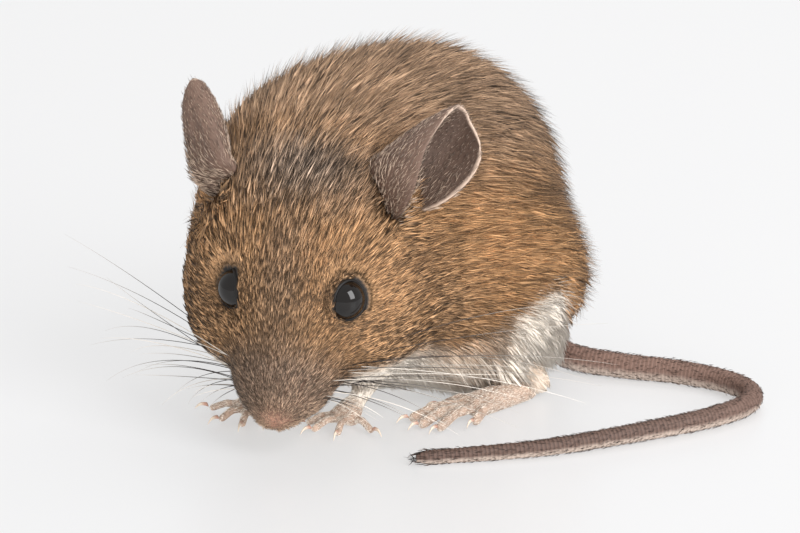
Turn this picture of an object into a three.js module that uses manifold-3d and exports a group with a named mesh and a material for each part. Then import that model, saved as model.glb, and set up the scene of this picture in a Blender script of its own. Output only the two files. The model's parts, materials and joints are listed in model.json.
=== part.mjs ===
// A field mouse, life size, crouched on all fours with its head bent down to its left and its tail curled
// round beside it. Millimetres, +Z up. The trunk runs along Y and faces -Y, the mouse's left is +X, and it
// stands on Z = 0.
import * as THREE from "three";
import { mergeVertices } from "three/addons/utils/BufferGeometryUtils.js";
import Module from "manifold-3d";

const wasm = await Module();
wasm.setup();

// ---- Driving dimensions ------------------------------------------------------------------------------

const GAP = 0.3; // between one piece and the next
const WELD = 1e-4; // vertices closer than this are one
const FLOOR_SLAB = { side: 300, depth: 50 };

// Fineness: how often an icosahedron's faces are divided, and how many segments a form has.
const BODY_DETAIL = 6;
const HEAD_DETAIL = 7;
const CUTTER_DETAIL = 3;
const LIMB_DETAIL = 1;
const TOE_DETAIL = 0;
const EYE_SEGMENTS = [12, 9];
const EAR_SEGMENTS = [10, 9, 1];
const TAIL_SEGMENTS = [9, 9]; // rings along each length, and spokes
const SIDES = { left: 1, right: -1 };

const SPINE_X = -8.8; // the trunk's middle plane
const BACK = { centre: [-9.4, 7.4, 20.9], radii: [15.6, 20.2, 18.8] };
const SHOULDERS = { centre: [-10.8, -5, 21.8], radii: [12, 12.4, 14.8] };
const BELLY = { centre: [SPINE_X, 0, 12.6], radii: [10, 14, 9] };
const BODY_BLEND = 8;

const HAUNCH = { out: 11, along: 12, up: 13, radii: [7.9, 13, 10] }; // out from the middle plane
const HAUNCH_BLEND = 4;
const HAUNCH_SPREAD = 1; // how far the haunch's cut lies outside the haunch

// The head has its own frame: origin at the nose tip, +Y back along the skull, +Z out of the forehead, and
// +X to its left.
const NOSE_TIP = [3.65, -20.4, 3.3];
const HEAD_TURN = THREE.MathUtils.degToRad(36); // to the mouse's left
const HEAD_DROP = THREE.MathUtils.degToRad(62); // nose below the level
const HEAD_LEAN = THREE.MathUtils.degToRad(-1); // crown to its left
const CRANIUM = { centre: [0, 21, -1.2], radii: [9.9, 9.8, 8.6] };
const CHEEK = { centre: [5.7, 15.4, -4], radii: [7.9, 9, 6.4] };
const BRIDGE = { back: [0, 14.8, 0.2], front: [0, 4.6, 0], backRadius: 6.2, frontRadius: 3.4 };
const WHISKER_PAD = { centre: [2.8, 7.9, -0.9], radii: [3.4, 6, 3.2] };
const NOSE = { centre: [0, 2.1, 0], radii: [2.6, 2.3, 2.2] };
const CHIN = { centre: [0, 8.6, -4.3], radii: [2.8, 6.2, 2.6] };
const HEAD_BLEND = 3;
const FACE_BLEND = 1.8;
const NECK_BLEND = 8;
const HEAD_CORE = [0, 15.5, -1];
const HEAD_STRETCH = [1, 1.7, 1];
const TRUNK_CORE = [-7, 0, 19];
const HEAD_BOUND = { centre: [0, 11, -2.5], radii: [16, 16.5, 13.5] }; // the head is what lies in this
const NECK_BOUND = { centre: [0, 13.5, -4], radii: [20, 19.5, 16.5] }; // and the neck what else is in this

const EYE = { centre: [6.6, 14.7, 2.8], radius: 2.25 };
const EAR = {
  foot: [11.8, 26, 0.4],
  tip: [16, 37.6, 2.4],
  deep: 4.2, // half its size from front to rear, where it is widest
  outer: 8.4, // how far its walls curve out to the side, there
  inner: { foot: 7.4, tip: 1.25, curve: 1.6 }, // how far its back stands in towards the crown
  widest: 0.48, // the way along the ear, from its foot, where it is widest
  below: 0.6, // how fast it narrows below and above that: the way along to where its edges would meet
  above: 0.55,
  spread: { left: 1, right: 0.7 }, // the right ear is drawn in
  thickness: 0.8,
  // How far its front and rear walls wrap round from the closed side, in radians: at the foot, half way, tip.
  frontWrap: [1.4, 1.6, 1.3],
  rearWrap: [1.95, 2.1, 1.3],
  faces: { left: [1, 0, 0.1], right: [1, 0, -0.75] }, // where the cup opens: the right ear is turned back
};

const TAIL = {
  route: [
    [-8, 19.5, 6.2],
    [-6.2, 22, 4.5],
    [-2, 22.8, 3.1],
    [2.8, 23.4, 1.9],
    [8.2, 26.6, 1.5],
    [13.8, 30.6, 1.4],
    [19.4, 32.9, 1.33],
    [24, 32.6, 1.3],
    [26.6, 29.2, 1.27],
    [26.8, 22.6, 1.22],
    [24.8, 12.6, 1.13],
    [22.2, 3.6, 1],
    [19, -3.2, 0.9],
    [15.3, -9.8, 0.79],
  ],
  rootRadius: 1.75,
  endRadius: 0.8,
  roundsFrom: 0.985, // the way along it where the tip starts to round off
  roundsTo: 1.004, // and where it would close
  lengths: 4,
};

// Feet. Each starts on the floor under the heel or wrist and points to -Y before its turn to the left. Toes
// are given as [out, along] for a left foot.
const HIND_FEET = {
  left: { heel: [7, 14.8], turn: 0, joint: [5.4, 10.6, 7.4] },
  right: { heel: [-22.2, 15.4], turn: 5, joint: [-21.4, 11, 7.4] },
};
const FORE_FEET = {
  left: { heel: [-0.3, -6], turn: 20, joint: [1.2, -1.4, 9] },
  right: { heel: [-9.7, -12.8], turn: -25, joint: [-11.6, -8, 9] },
};
const HIND_SHAPE = {
  heel: { up: 1.55, radius: 1.75 },
  ball: { along: 9.6, out: 0.95, up: 1, radius: 1.2 },
  shank: { radius: 2.0, jointRadius: 3.2 },
  toeRadius: 0.72,
  toes: [
    { root: [-1.2, 8.2], tip: [-2.9, 11.6] },
    { root: [-1.2, 11], tip: [-1.9, 16.8] },
    { root: [-0.1, 11.4], tip: [0.3, 17.2] },
    { root: [0.9, 11], tip: [2.3, 16.2] },
    { root: [1.4, 7.6], tip: [3.2, 11.8] },
  ],
};
const FORE_SHAPE = {
  heel: { up: 2.1, radius: 1.25 },
  ball: { along: 2.4, out: 0.8, up: 0.95, radius: 1.1 },
  shank: { radius: 1.4, jointRadius: 2.6 },
  toeRadius: 0.56,
  toes: [
    { root: [-1.2, 2.8], tip: [-3, 5.2] },
    { root: [-0.45, 3.4], tip: [-1.4, 6.6] },
    { root: [0.5, 3.4], tip: [1.5, 6.2] },
    { root: [1.2, 2.4], tip: [4.2, 3.6] },
  ],
};
const TOE = { rootUp: 1.6, knuckleUp: 2, knuckleRadius: 0.95, tipUp: 0.9 }; // all in the toe's own radius
const CLAW = { length: 1.3, radius: 0.28, droop: 0.35, sides: 6 };

// ---- Materials ---------------------------------------------------------------------------------------

const finish = (color, roughness) => new THREE.MeshStandardMaterial({ color, roughness, metalness: 0 });
const COAT = finish("#8a6544", 0.9);
const TAIL_SKIN = finish("#5f4f48", 0.75);
const EAR_SKIN = finish("#5a4a45", 0.85);
const BARE_SKIN = finish("#c9a593", 0.6);
const EYE_BLACK = finish("#0b0a0a", 0.1);
const HORN = finish("#cbb8a0", 0.45);

// ---- Solids ------------------------------------------------------------------------------------------

const vector = (list) => new THREE.Vector3(...list);

function solid(geometry) {
  const bare = geometry.index ? geometry.toNonIndexed() : geometry.clone();
  bare.deleteAttribute("normal");
  bare.deleteAttribute("uv");
  const merged = mergeVertices(bare, WELD);
  return new wasm.Manifold(
    new wasm.Mesh({
      numProp: 3,
      vertProperties: merged.attributes.position.array,
      triVerts: new Uint32Array(merged.index.array),
    }),
  );
}

function geometryOf(manifold) {
  const mesh = manifold.getMesh();
  return new THREE.BufferGeometry()
    .setAttribute("position", new THREE.BufferAttribute(mesh.vertProperties, 3))
    .setIndex(new THREE.BufferAttribute(mesh.triVerts, 1));
}

const mouse = new THREE.Group();

function add(name, manifold, material) {
  const mesh = new THREE.Mesh(geometryOf(manifold), material);
  mesh.name = name;
  mouse.add(mesh);
}

const join = (solids) => solids.reduce((whole, next) => whole.add(next));
const slab = new THREE.BoxGeometry(FLOOR_SLAB.side, FLOOR_SLAB.side, FLOOR_SLAB.depth);
const FLOOR = solid(slab.translate(0, 0, -FLOOR_SLAB.depth / 2));

// ---- The body's surface, as a field that is negative inside ------------------------------------------

const headPlace = new THREE.Matrix4()
  .makeTranslation(...NOSE_TIP)
  .multiply(new THREE.Matrix4().makeRotationZ(HEAD_TURN))
  .multiply(new THREE.Matrix4().makeRotationX(HEAD_DROP))
  .multiply(new THREE.Matrix4().makeRotationZ(HEAD_LEAN));
const headInverse = headPlace.clone().invert();
const mirrored = (list, side) => [list[0] * side, list[1], list[2]];
const sides = Object.values(SIDES);
const pairField = ({ centre, radii }) => sides.map((side) => ellipsoidField(mirrored(centre, side), radii));

function ellipsoidField(centre, radii) {
  return (p) => {
    const x = (p.x - centre[0]) / radii[0];
    const y = (p.y - centre[1]) / radii[1];
    const z = (p.z - centre[2]) / radii[2];
    const reach = Math.hypot(x, y, z);
    const slope = Math.hypot(x / radii[0], y / radii[1], z / radii[2]);
    return slope > 0 ? (reach * (reach - 1)) / slope : -Math.min(...radii);
  };
}

function coneField(back, front, backRadius, frontRadius) {
  const start = vector(back);
  const axis = vector(front).sub(start);
  return (p) => {
    const t = THREE.MathUtils.clamp(p.clone().sub(start).dot(axis) / axis.lengthSq(), 0, 1);
    const nearest = start.clone().addScaledVector(axis, t);
    return p.distanceTo(nearest) - THREE.MathUtils.lerp(backRadius, frontRadius, t);
  };
}

function smoothMin(a, b, width) {
  const overlap = Math.max(width - Math.abs(a - b), 0) / width;
  return Math.min(a, b) - (overlap * overlap * width) / 4;
}

const blended = (fields, width) => (p) => fields.map((f) => f(p)).reduce((a, b) => smoothMin(a, b, width));

const bodyField = blended(
  [BACK, SHOULDERS, BELLY].map((part) => ellipsoidField(part.centre, part.radii)),
  BODY_BLEND,
);
const haunchCentre = (side) => [SPINE_X + HAUNCH.out * side, HAUNCH.along, HAUNCH.up];
const haunchFields = sides.map((side) => ellipsoidField(haunchCentre(side), HAUNCH.radii));
const skullField = blended(
  [
    ellipsoidField(CRANIUM.centre, CRANIUM.radii),
    ...pairField(CHEEK),
    coneField(BRIDGE.back, BRIDGE.front, BRIDGE.backRadius, BRIDGE.frontRadius),
  ],
  HEAD_BLEND,
);
const faceField = blended(
  [
    skullField,
    ...pairField(WHISKER_PAD),
    ellipsoidField(NOSE.centre, NOSE.radii),
    ellipsoidField(CHIN.centre, CHIN.radii),
  ],
  FACE_BLEND,
);
const trunkField = blended([bodyField, ...haunchFields], HAUNCH_BLEND);

function outline(p) {
  return smoothMin(trunkField(p), faceField(p.clone().applyMatrix4(headInverse)), NECK_BLEND);
}

const UPRIGHT = new THREE.Matrix4();
const WRAP_STEP = 0.5;

// An icosahedron's vertices pushed out from a centre until they are past the outline by grow. The centre
// and its axes are turned and moved by place, and stretch crowds the vertices near the ends of a long form.
function wrap(detail, centre, place, stretch, grow) {
  const geometry = new THREE.IcosahedronGeometry(1, detail);
  const position = geometry.attributes.position;
  const origin = vector(centre).applyMatrix4(place);
  const direction = new THREE.Vector3();
  const at = (reach) => origin.clone().addScaledVector(direction, reach);
  for (let i = 0; i < position.count; i++) {
    direction.fromBufferAttribute(position, i).multiply(vector(stretch)).transformDirection(place);
    let outer = WRAP_STEP;
    while (outline(at(outer)) < grow) outer += WRAP_STEP;
    let inner = outer - WRAP_STEP;
    while (outer - inner > WELD) {
      const middle = (inner + outer) / 2;
      if (outline(at(middle)) < grow) inner = middle;
      else outer = middle;
    }
    position.setXYZ(i, ...at(outer));
  }
  return solid(geometry);
}

const wrapBody = (grow) => wrap(BODY_DETAIL, TRUNK_CORE, UPRIGHT, [1, 1, 1], grow);
const wrapHead = (grow) => wrap(HEAD_DETAIL, HEAD_CORE, headPlace, HEAD_STRETCH, grow);
const bodyWrap = wrapBody(0);
const headWrap = wrapHead(0);
const bodyGrown = wrapBody(GAP);
const headGrown = wrapHead(GAP);

// ---- Head, neck, trunk and haunches: the whole, parted by thin curved cuts ---------------------------

function cutter({ centre, radii }, place, grow) {
  return solid(
    new THREE.IcosahedronGeometry(1, CUTTER_DETAIL)
      .scale(...radii.map((r) => r + grow))
      .translate(...centre)
      .applyMatrix4(place),
  );
}

const haunchBound = (side) => ({
  centre: haunchCentre(side),
  radii: HAUNCH.radii.map((r) => r + HAUNCH_SPREAD),
});

const eyeBall = (side, grow) =>
  solid(
    new THREE.SphereGeometry(EYE.radius + grow, ...EYE_SEGMENTS)
      .translate(...mirrored(EYE.centre, side))
      .applyMatrix4(headPlace),
  );
const sockets = join(sides.map((side) => eyeBall(side, GAP / 2)));
add("head", headWrap.intersect(cutter(HEAD_BOUND, headPlace, 0)).subtract(sockets), COAT);

const headCut = cutter(HEAD_BOUND, headPlace, GAP);
add("neck", bodyWrap.intersect(cutter(NECK_BOUND, headPlace, 0)).subtract(headCut), COAT);

const rear = bodyWrap.subtract(cutter(NECK_BOUND, headPlace, GAP)).subtract(headCut);
const haunchCuts = sides.map((side) => cutter(haunchBound(side), UPRIGHT, GAP));
add("trunk", rear.subtract(join(haunchCuts)), COAT);
for (const [name, side] of Object.entries(SIDES)) {
  add(`haunch_${name}`, rear.intersect(cutter(haunchBound(side), UPRIGHT, 0)), COAT);
  add(`eye_${name}`, eyeBall(side, 0), EYE_BLACK);
}

// ---- Bent pieces -------------------------------------------------------------------------------------

// A lathe turned about Y, its height from 0 to 1, laid along a curve: height becomes the way along the curve.
function bentLathe(radiusAt, curve, [rings, spokes], from, to) {
  const profile = [new THREE.Vector2(0, 0)];
  for (let i = 0; i <= rings; i++) profile.push(new THREE.Vector2(1, i / rings));
  profile.push(new THREE.Vector2(0, 1));
  const geometry = new THREE.LatheGeometry(profile, spokes);
  const position = geometry.attributes.position;
  const v = new THREE.Vector3();
  for (let i = 0; i < position.count; i++) {
    v.fromBufferAttribute(position, i);
    const t = THREE.MathUtils.lerp(from, to, v.y);
    const forward = curve.getTangentAt(t);
    const side = forward.clone().cross(new THREE.Vector3(0, 0, 1)).normalize();
    const up = side.clone().cross(forward);
    const centre = curve.getPointAt(t);
    const radius = radiusAt(t);
    position.setXYZ(i, ...centre.addScaledVector(side, v.x * radius).addScaledVector(up, v.z * radius));
  }
  return solid(geometry);
}

// ---- Tail --------------------------------------------------------------------------------------------

const tailCurve = new THREE.CatmullRomCurve3(TAIL.route.map(vector));
function tailRadius(t) {
  const left = (TAIL.roundsTo - t) / (TAIL.roundsTo - TAIL.roundsFrom);
  return THREE.MathUtils.lerp(TAIL.rootRadius, TAIL.endRadius, t) * Math.sqrt(Math.min(1, left));
}
const halfCut = GAP / 2 / tailCurve.getLength();
for (let i = 0; i < TAIL.lengths; i++) {
  const from = i / TAIL.lengths + (i > 0 ? halfCut : 0);
  const to = (i + 1) / TAIL.lengths - (i < TAIL.lengths - 1 ? halfCut : 0);
  const length = bentLathe(tailRadius, tailCurve, TAIL_SEGMENTS, from, to);
  add(`tail_${i + 1}`, length.subtract(bodyGrown).subtract(FLOOR), TAIL_SKIN);
}

// ---- Ears: a slab bent into a cup that opens sideways, its rims drawn together at the foot -----

function earWrap([foot, half, tip], t) {
  const bend = 2 * half - (foot + tip) / 2;
  return (1 - t) ** 2 * foot + 2 * t * (1 - t) * bend + t ** 2 * tip;
}

function earRound(t) {
  const reach = (t - EAR.widest) / (t < EAR.widest ? EAR.below : EAR.above);
  return Math.sqrt(1 - reach ** 2);
}

const earInner = (t) => THREE.MathUtils.lerp(EAR.inner.foot, EAR.inner.tip, t ** EAR.inner.curve);

function ear(name, side) {
  const foot = vector(mirrored(EAR.foot, side)).applyMatrix4(headPlace);
  const tip = vector(mirrored(EAR.tip, side)).applyMatrix4(headPlace);
  const along = tip.clone().sub(foot);
  const height = along.length();
  along.normalize();
  const faces = vector(mirrored(EAR.faces[name], side)).transformDirection(headPlace);
  faces.addScaledVector(along, -faces.dot(along)).normalize();
  const across = along.clone().cross(faces);
  const spread = EAR.spread[name];
  const geometry = new THREE.BoxGeometry(2, 1, 1, ...EAR_SEGMENTS).translate(0, 0.5, 0.5);
  const position = geometry.attributes.position;
  const v = new THREE.Vector3();
  for (let i = 0; i < position.count; i++) {
    v.fromBufferAttribute(position, i);
    const angle = v.x * earWrap(v.x * side > 0 ? EAR.rearWrap : EAR.frontWrap, v.y);
    const inset = v.z * EAR.thickness;
    const out = (Math.cos(angle) > 0 ? earInner(v.y) : EAR.outer * earRound(v.y)) * spread - inset;
    const point = foot
      .clone()
      .addScaledVector(along, v.y * height)
      .addScaledVector(across, Math.sin(angle) * (EAR.deep * earRound(v.y) * spread - inset))
      .addScaledVector(faces, -Math.cos(angle) * out);
    position.setXYZ(i, ...point);
  }
  return solid(geometry);
}

for (const [name, side] of Object.entries(SIDES)) {
  add(`ear_${name}`, ear(name, side).subtract(headGrown).subtract(bodyGrown), EAR_SKIN);
}

// ---- Legs and feet: hulls over small balls, cut flat on the floor ------------------------------------

function limb(balls, detail = LIMB_DETAIL) {
  const ends = balls.map(([centre, radius]) =>
    solid(new THREE.IcosahedronGeometry(radius, detail).translate(...centre)),
  );
  return wasm.Manifold.hull(ends);
}

function toe({ root, tip }, radius) {
  const half = root.map((value, axis) => (value + tip[axis]) / 2);
  const base = [[...root, radius * TOE.rootUp], radius];
  const knuckle = [[...half, radius * TOE.knuckleUp], radius * TOE.knuckleRadius];
  const end = [[...tip, radius * TOE.tipUp], radius];
  return join([limb([base, knuckle], TOE_DETAIL), limb([knuckle, end], TOE_DETAIL)]);
}

function claw({ root, tip }, radius) {
  const way = new THREE.Vector2(...tip).sub(new THREE.Vector2(...root)).normalize();
  return solid(
    new THREE.ConeGeometry(CLAW.radius, CLAW.length, CLAW.sides)
      .rotateX(-CLAW.droop)
      .translate(0, radius + GAP + CLAW.length / 2, 0)
      .rotateZ(Math.atan2(-way.x, way.y))
      .translate(...tip, radius * TOE.tipUp),
  );
}

// Local +Y runs from heel to toes, and +X is outward for a left foot.
function footPlace(spec, side) {
  return new THREE.Matrix4()
    .makeTranslation(spec.heel[0], spec.heel[1], 0)
    .multiply(new THREE.Matrix4().makeRotationZ(THREE.MathUtils.degToRad(spec.turn * side)))
    .multiply(new THREE.Matrix4().makeRotationZ(Math.PI));
}

function addLeg(leg, paw, label, name, side, spec, shape) {
  const place = footPlace(spec, side);
  const { heel, ball: pad, shank, toeRadius, toes } = shape;
  const ankle = [0, 0, heel.up];
  const sole = limb([
    [ankle, heel.radius],
    ...[-1, 1].map((out) => [[out * pad.out, pad.along, pad.up], pad.radius]),
  ]);
  const turned = ([out, along]) => [-out * side, along];
  const outward = toes.map(({ root, tip }) => ({ root: turned(root), tip: turned(tip) }));
  const foot = join([sole, ...outward.map((t) => toe(t, toeRadius))]).transform(place.elements);
  const top = vector(ankle).applyMatrix4(place);
  const shin = (grow) =>
    limb([
      [[...top], shank.radius + grow],
      [spec.joint, shank.jointRadius + grow],
    ]);
  const clear = (piece) => piece.subtract(bodyGrown).subtract(headGrown).subtract(FLOOR);
  add(`${leg}_${name}`, clear(shin(0)), COAT);
  add(`${paw}_${name}`, clear(foot.subtract(shin(GAP))), BARE_SKIN);
  outward.forEach((t, i) => {
    add(`claw_${label}_${name}_${i + 1}`, claw(t, toeRadius).transform(place.elements), HORN);
  });
}

for (const [name, side] of Object.entries(SIDES)) {
  addLeg("shank", "hind_foot", "hind", name, side, HIND_FEET[name], HIND_SHAPE);
  addLeg("foreleg", "forepaw", "fore", name, side, FORE_FEET[name], FORE_SHAPE);
}

const middle = new THREE.Box3().setFromObject(mouse).getCenter(new THREE.Vector3());
mouse.position.set(-middle.x, -middle.y, 0);

export default mouse;
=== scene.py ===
"""A field mouse at life size: one skin under a coat of fine tufts, with eyes, claws and whiskers."""

import json
import math

import bpy
import numpy as np
from bpy.props import FloatProperty, FloatVectorProperty, IntProperty, PointerProperty
from mathutils import Matrix, Vector
from mathutils.bvhtree import BVHTree
from mathutils.kdtree import KDTree

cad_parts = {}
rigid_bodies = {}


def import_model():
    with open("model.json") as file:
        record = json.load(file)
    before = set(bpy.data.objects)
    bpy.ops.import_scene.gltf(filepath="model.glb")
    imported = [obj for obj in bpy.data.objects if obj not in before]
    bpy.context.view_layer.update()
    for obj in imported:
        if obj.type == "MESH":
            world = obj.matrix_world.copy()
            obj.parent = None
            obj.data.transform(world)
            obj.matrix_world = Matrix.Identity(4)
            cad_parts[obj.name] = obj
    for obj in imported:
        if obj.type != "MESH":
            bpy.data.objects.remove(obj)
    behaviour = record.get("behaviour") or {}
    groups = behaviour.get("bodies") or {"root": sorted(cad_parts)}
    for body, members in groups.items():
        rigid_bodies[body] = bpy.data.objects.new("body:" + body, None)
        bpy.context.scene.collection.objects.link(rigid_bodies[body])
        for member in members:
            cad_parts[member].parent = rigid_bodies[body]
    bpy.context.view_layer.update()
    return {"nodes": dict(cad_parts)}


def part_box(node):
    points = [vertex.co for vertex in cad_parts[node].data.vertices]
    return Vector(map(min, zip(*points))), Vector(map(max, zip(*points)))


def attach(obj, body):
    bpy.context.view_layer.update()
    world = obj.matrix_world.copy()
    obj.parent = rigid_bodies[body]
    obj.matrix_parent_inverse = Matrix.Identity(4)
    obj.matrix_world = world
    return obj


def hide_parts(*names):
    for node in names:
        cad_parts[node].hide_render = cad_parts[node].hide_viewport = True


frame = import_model()

bl_info = {
    "name": "Field mouse",
    "version": (1, 0, 0),
    "blender": (4, 5, 0),
    "location": "View3D > Sidebar > Mouse",
    "description": "Makes a life-size field mouse, piece by piece, over its packed solids",
    "category": "Add Mesh",
}

MM = 0.001  # this file's sizes are in millimetres, and the scene's in metres
SIDES = {"left": 1, "right": -1}

# The head's own frame has its origin at the nose tip. +Y runs back along the skull, +Z out of the forehead
# and +X to the mouse's left. Places given in it are in millimetres.
HEAD_TURN = math.radians(36)
HEAD_DROP = math.radians(62)
HEAD_LEAN = math.radians(-1)
EYE_OUT, EYE_BACK, EYE_UP = 6.6, 14.7, 2.8
EYE_RADIUS = 2.25

BODY_NODES = ["head", "neck", "trunk", "haunch_left", "haunch_right"]
LEG_NODES = ["shank_left", "shank_right", "foreleg_left", "foreleg_right"]
FOOT_NODES = ["hind_foot_left", "hind_foot_right", "forepaw_left", "forepaw_right"]
EYE_NODES = ["eye_left", "eye_right"]
EAR_NODES = ["ear_left", "ear_right"]
TAIL_NODES = ["tail_1", "tail_2", "tail_3", "tail_4"]


def middle(node):
    low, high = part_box(node)
    return (low + high) / 2


def head_frame():
    """The head's frame in metres: its turns are known, and its place comes from the two eyes."""
    turns = Matrix.Rotation(HEAD_TURN, 4, "Z") @ Matrix.Rotation(HEAD_DROP, 4, "X")
    turns = turns @ Matrix.Rotation(HEAD_LEAN, 4, "Z")
    between = (middle("eye_left") + middle("eye_right")) / 2
    return Matrix.Translation(between - turns @ Vector((0, EYE_BACK, EYE_UP)) * MM) @ turns


HEAD = head_frame()
HEAD_BACK = HEAD.inverted()


# ---- Arrays of points ----------------------------------------------------------------------------


def array_of(matrix):
    return np.array(matrix, float)


def moved(points, matrix):
    """Points in metres, carried by a matrix."""
    m = array_of(matrix)
    return points @ m[:3, :3].T + m[:3, 3]


def in_head(points):
    """Row-frame points in metres as head-frame points in millimetres."""
    return moved(points, HEAD_BACK) / MM


def from_head(points):
    return moved(np.atleast_2d(np.array(points, float)) * MM, HEAD)


def unit(vectors):
    return vectors / np.maximum(np.linalg.norm(vectors, axis=-1, keepdims=True), 1e-12)


def smooth_step(low, high, values):
    t = np.clip((values - low) / (high - low), 0, 1)
    return t * t * (3 - 2 * t)


def points_of(mesh):
    co = np.empty(len(mesh.vertices) * 3, np.float32)
    mesh.vertices.foreach_get("co", co)
    return co.reshape(-1, 3).astype(float)


def normals_of(mesh):
    normal = np.empty(len(mesh.vertices) * 3, np.float32)
    mesh.vertices.foreach_get("normal", normal)
    return normal.reshape(-1, 3).astype(float)


def set_points(mesh, points):
    mesh.vertices.foreach_set("co", points.astype(np.float32).ravel())
    mesh.update()


def edges_of(mesh):
    pairs = np.empty(len(mesh.edges) * 2, np.int32)
    mesh.edges.foreach_get("vertices", pairs)
    return pairs.reshape(-1, 2)


def spread(values, pairs, times):
    """Values on vertices, each evened out with its neighbours, a number of times."""
    values = np.array(values, float)
    flat = values.reshape(len(values), -1)
    count = np.bincount(pairs.ravel(), minlength=len(values))[:, None]
    for _ in range(times):
        total = np.stack(
            [
                np.bincount(pairs[:, 0], flat[pairs[:, 1], k], len(values))
                + np.bincount(pairs[:, 1], flat[pairs[:, 0], k], len(values))
                for k in range(flat.shape[1])
            ],
            axis=1,
        )
        flat = 0.5 * flat + 0.5 * total / np.maximum(count, 1)
    return flat.reshape(values.shape)


def set_attribute(mesh, name, values):
    layer = mesh.attributes.get(name) or mesh.attributes.new(name, "FLOAT", "POINT")
    layer.data.foreach_set("value", np.asarray(values, np.float32))


# ---- Making pieces by hand -----------------------------------------------------------------------


def only(piece):
    if bpy.context.object and bpy.context.object.mode != "OBJECT":
        bpy.ops.object.mode_set(mode="OBJECT")
    bpy.ops.object.select_all(action="DESELECT")
    piece.select_set(True)
    bpy.context.view_layer.objects.active = piece


def edit(piece, *steps):
    """Runs mesh operators, each with its settings, on the whole of a piece."""
    only(piece)
    bpy.ops.object.mode_set(mode="EDIT")
    for operator, settings in steps:
        bpy.ops.mesh.select_all(action="SELECT")
        operator(**settings)
    bpy.ops.object.mode_set(mode="OBJECT")


def merge(distance):
    """A step for edit: joins the corners that are this near, in millimetres."""
    return bpy.ops.mesh.remove_doubles, {"threshold": distance * MM}


def face_outward():
    """A step for edit: turns every face outward."""
    return bpy.ops.mesh.normals_make_consistent, {"inside": False}


def smooth(mesh):
    mesh.polygons.foreach_set("use_smooth", np.ones(len(mesh.polygons), bool))


def modify(piece, kind, **settings):
    only(piece)
    modifier = piece.modifiers.new(kind.title(), kind)
    for key, value in settings.items():
        setattr(modifier, key, value)
    bpy.ops.object.modifier_apply(modifier=modifier.name)


def copy_of(nodes, name):
    """A joined copy of some solids, with its doubled vertices merged."""
    bpy.ops.object.select_all(action="DESELECT")
    for node in nodes:
        frame["nodes"][node].select_set(True)
    bpy.context.view_layer.objects.active = frame["nodes"][nodes[0]]
    bpy.ops.object.duplicate()
    if len(nodes) > 1:
        bpy.ops.object.join()
    piece = bpy.context.object
    bpy.ops.object.parent_clear(type="CLEAR_KEEP_TRANSFORM")
    for key in list(piece.keys()):
        del piece[key]
    piece.name = name
    piece.data.name = name
    edit(piece, merge(0.002))
    return piece


def joined(pieces, name):
    only(pieces[0])
    for piece in pieces[1:]:
        piece.select_set(True)
    bpy.ops.object.join()
    bpy.context.object.name = name
    return bpy.context.object


def dress(piece, material, slot, *replaced):
    piece.data.materials.clear()
    piece.data.materials.append(material)
    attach(piece, "root")
    if replaced:
        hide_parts(*replaced)


def tree_of(piece):
    mesh = piece.data
    mesh.calc_loop_triangles()
    corners = np.empty(len(mesh.loop_triangles) * 3, np.int32)
    mesh.loop_triangles.foreach_get("vertices", corners)
    return BVHTree.FromPolygons(points_of(mesh).tolist(), corners.reshape(-1, 3).tolist())


# ---- Materials: node maths as Python expressions -------------------------------------------------


class Value:
    """A socket's value. Sums on it add Math nodes."""

    def __init__(self, shop, socket):
        self.shop = shop
        self.socket = socket

    def math(self, operation, *terms):
        return self.shop.node("Math", {"operation": operation}, terms)

    def __add__(self, other):
        return self.math("ADD", self, other)

    __radd__ = __add__

    def __sub__(self, other):
        return self.math("SUBTRACT", self, other)

    def __rsub__(self, other):
        return self.math("SUBTRACT", other, self)

    def __mul__(self, other):
        return self.math("MULTIPLY", self, other)

    __rmul__ = __mul__

    def step(self, low, high):
        """0 below low and 1 above high, with a smooth rise between; low may be the higher number."""
        settings = {"interpolation_type": "SMOOTHSTEP"}
        return self.shop.node("MapRange", settings, (self, low, high, 0.0, 1.0))


class Shop:
    """One material and short ways to add nodes to it."""

    def __init__(self, name, roughness=0.6, **sockets):
        self.material = bpy.data.materials.new(name)
        self.material.use_nodes = True
        self.tree = self.material.node_tree
        self.shader = self.tree.nodes["Principled BSDF"]
        self.shader.inputs["Roughness"].default_value = roughness
        for socket, value in sockets.items():
            self.shader.inputs[socket.replace("_", " ")].default_value = value

    def node(self, kind, settings, inputs, output=0):
        made = self.tree.nodes.new("ShaderNode" + kind)
        for key, value in settings.items():
            setattr(made, key, value)
        named = inputs.items() if isinstance(inputs, dict) else enumerate(inputs)
        for key, value in named:
            if isinstance(value, Value):
                self.tree.links.new(value.socket, made.inputs[key])
            else:
                made.inputs[key].default_value = value
        return Value(self, made.outputs[output])

    def place(self):
        """Object coordinates, in millimetres."""
        at = self.node("TexCoord", {}, {}, "Object")
        return self.node("VectorMath", {"operation": "SCALE"}, {0: at, "Scale": 1 / MM})

    def noise(self, vector, size, detail=3.0, roughness=0.5):
        inputs = {"Vector": vector, "Scale": 1 / size, "Detail": detail, "Roughness": roughness}
        return self.node("TexNoise", {}, inputs, 0)

    def cells(self, vector, size):
        return self.node("TexVoronoi", {}, {"Vector": vector, "Scale": 1 / size}, "Distance")

    def attribute(self, name):
        return self.node("Attribute", {"attribute_name": name}, {}, "Fac")

    def mix(self, factor, low, high):
        inputs = {0: factor, 6: low, 7: high}
        return self.node("Mix", {"data_type": "RGBA"}, inputs, 2)

    def feed(self, socket, value):
        self.tree.links.new(value.socket, self.shader.inputs[socket])

    def bump(self, height, depth, strength=1.0):
        """Relief on the Normal: a height of 0 to 1 that stands for this many millimetres."""
        inputs = {"Height": height, "Distance": depth * MM, "Strength": strength}
        self.feed("Normal", self.node("Bump", {}, inputs))


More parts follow.
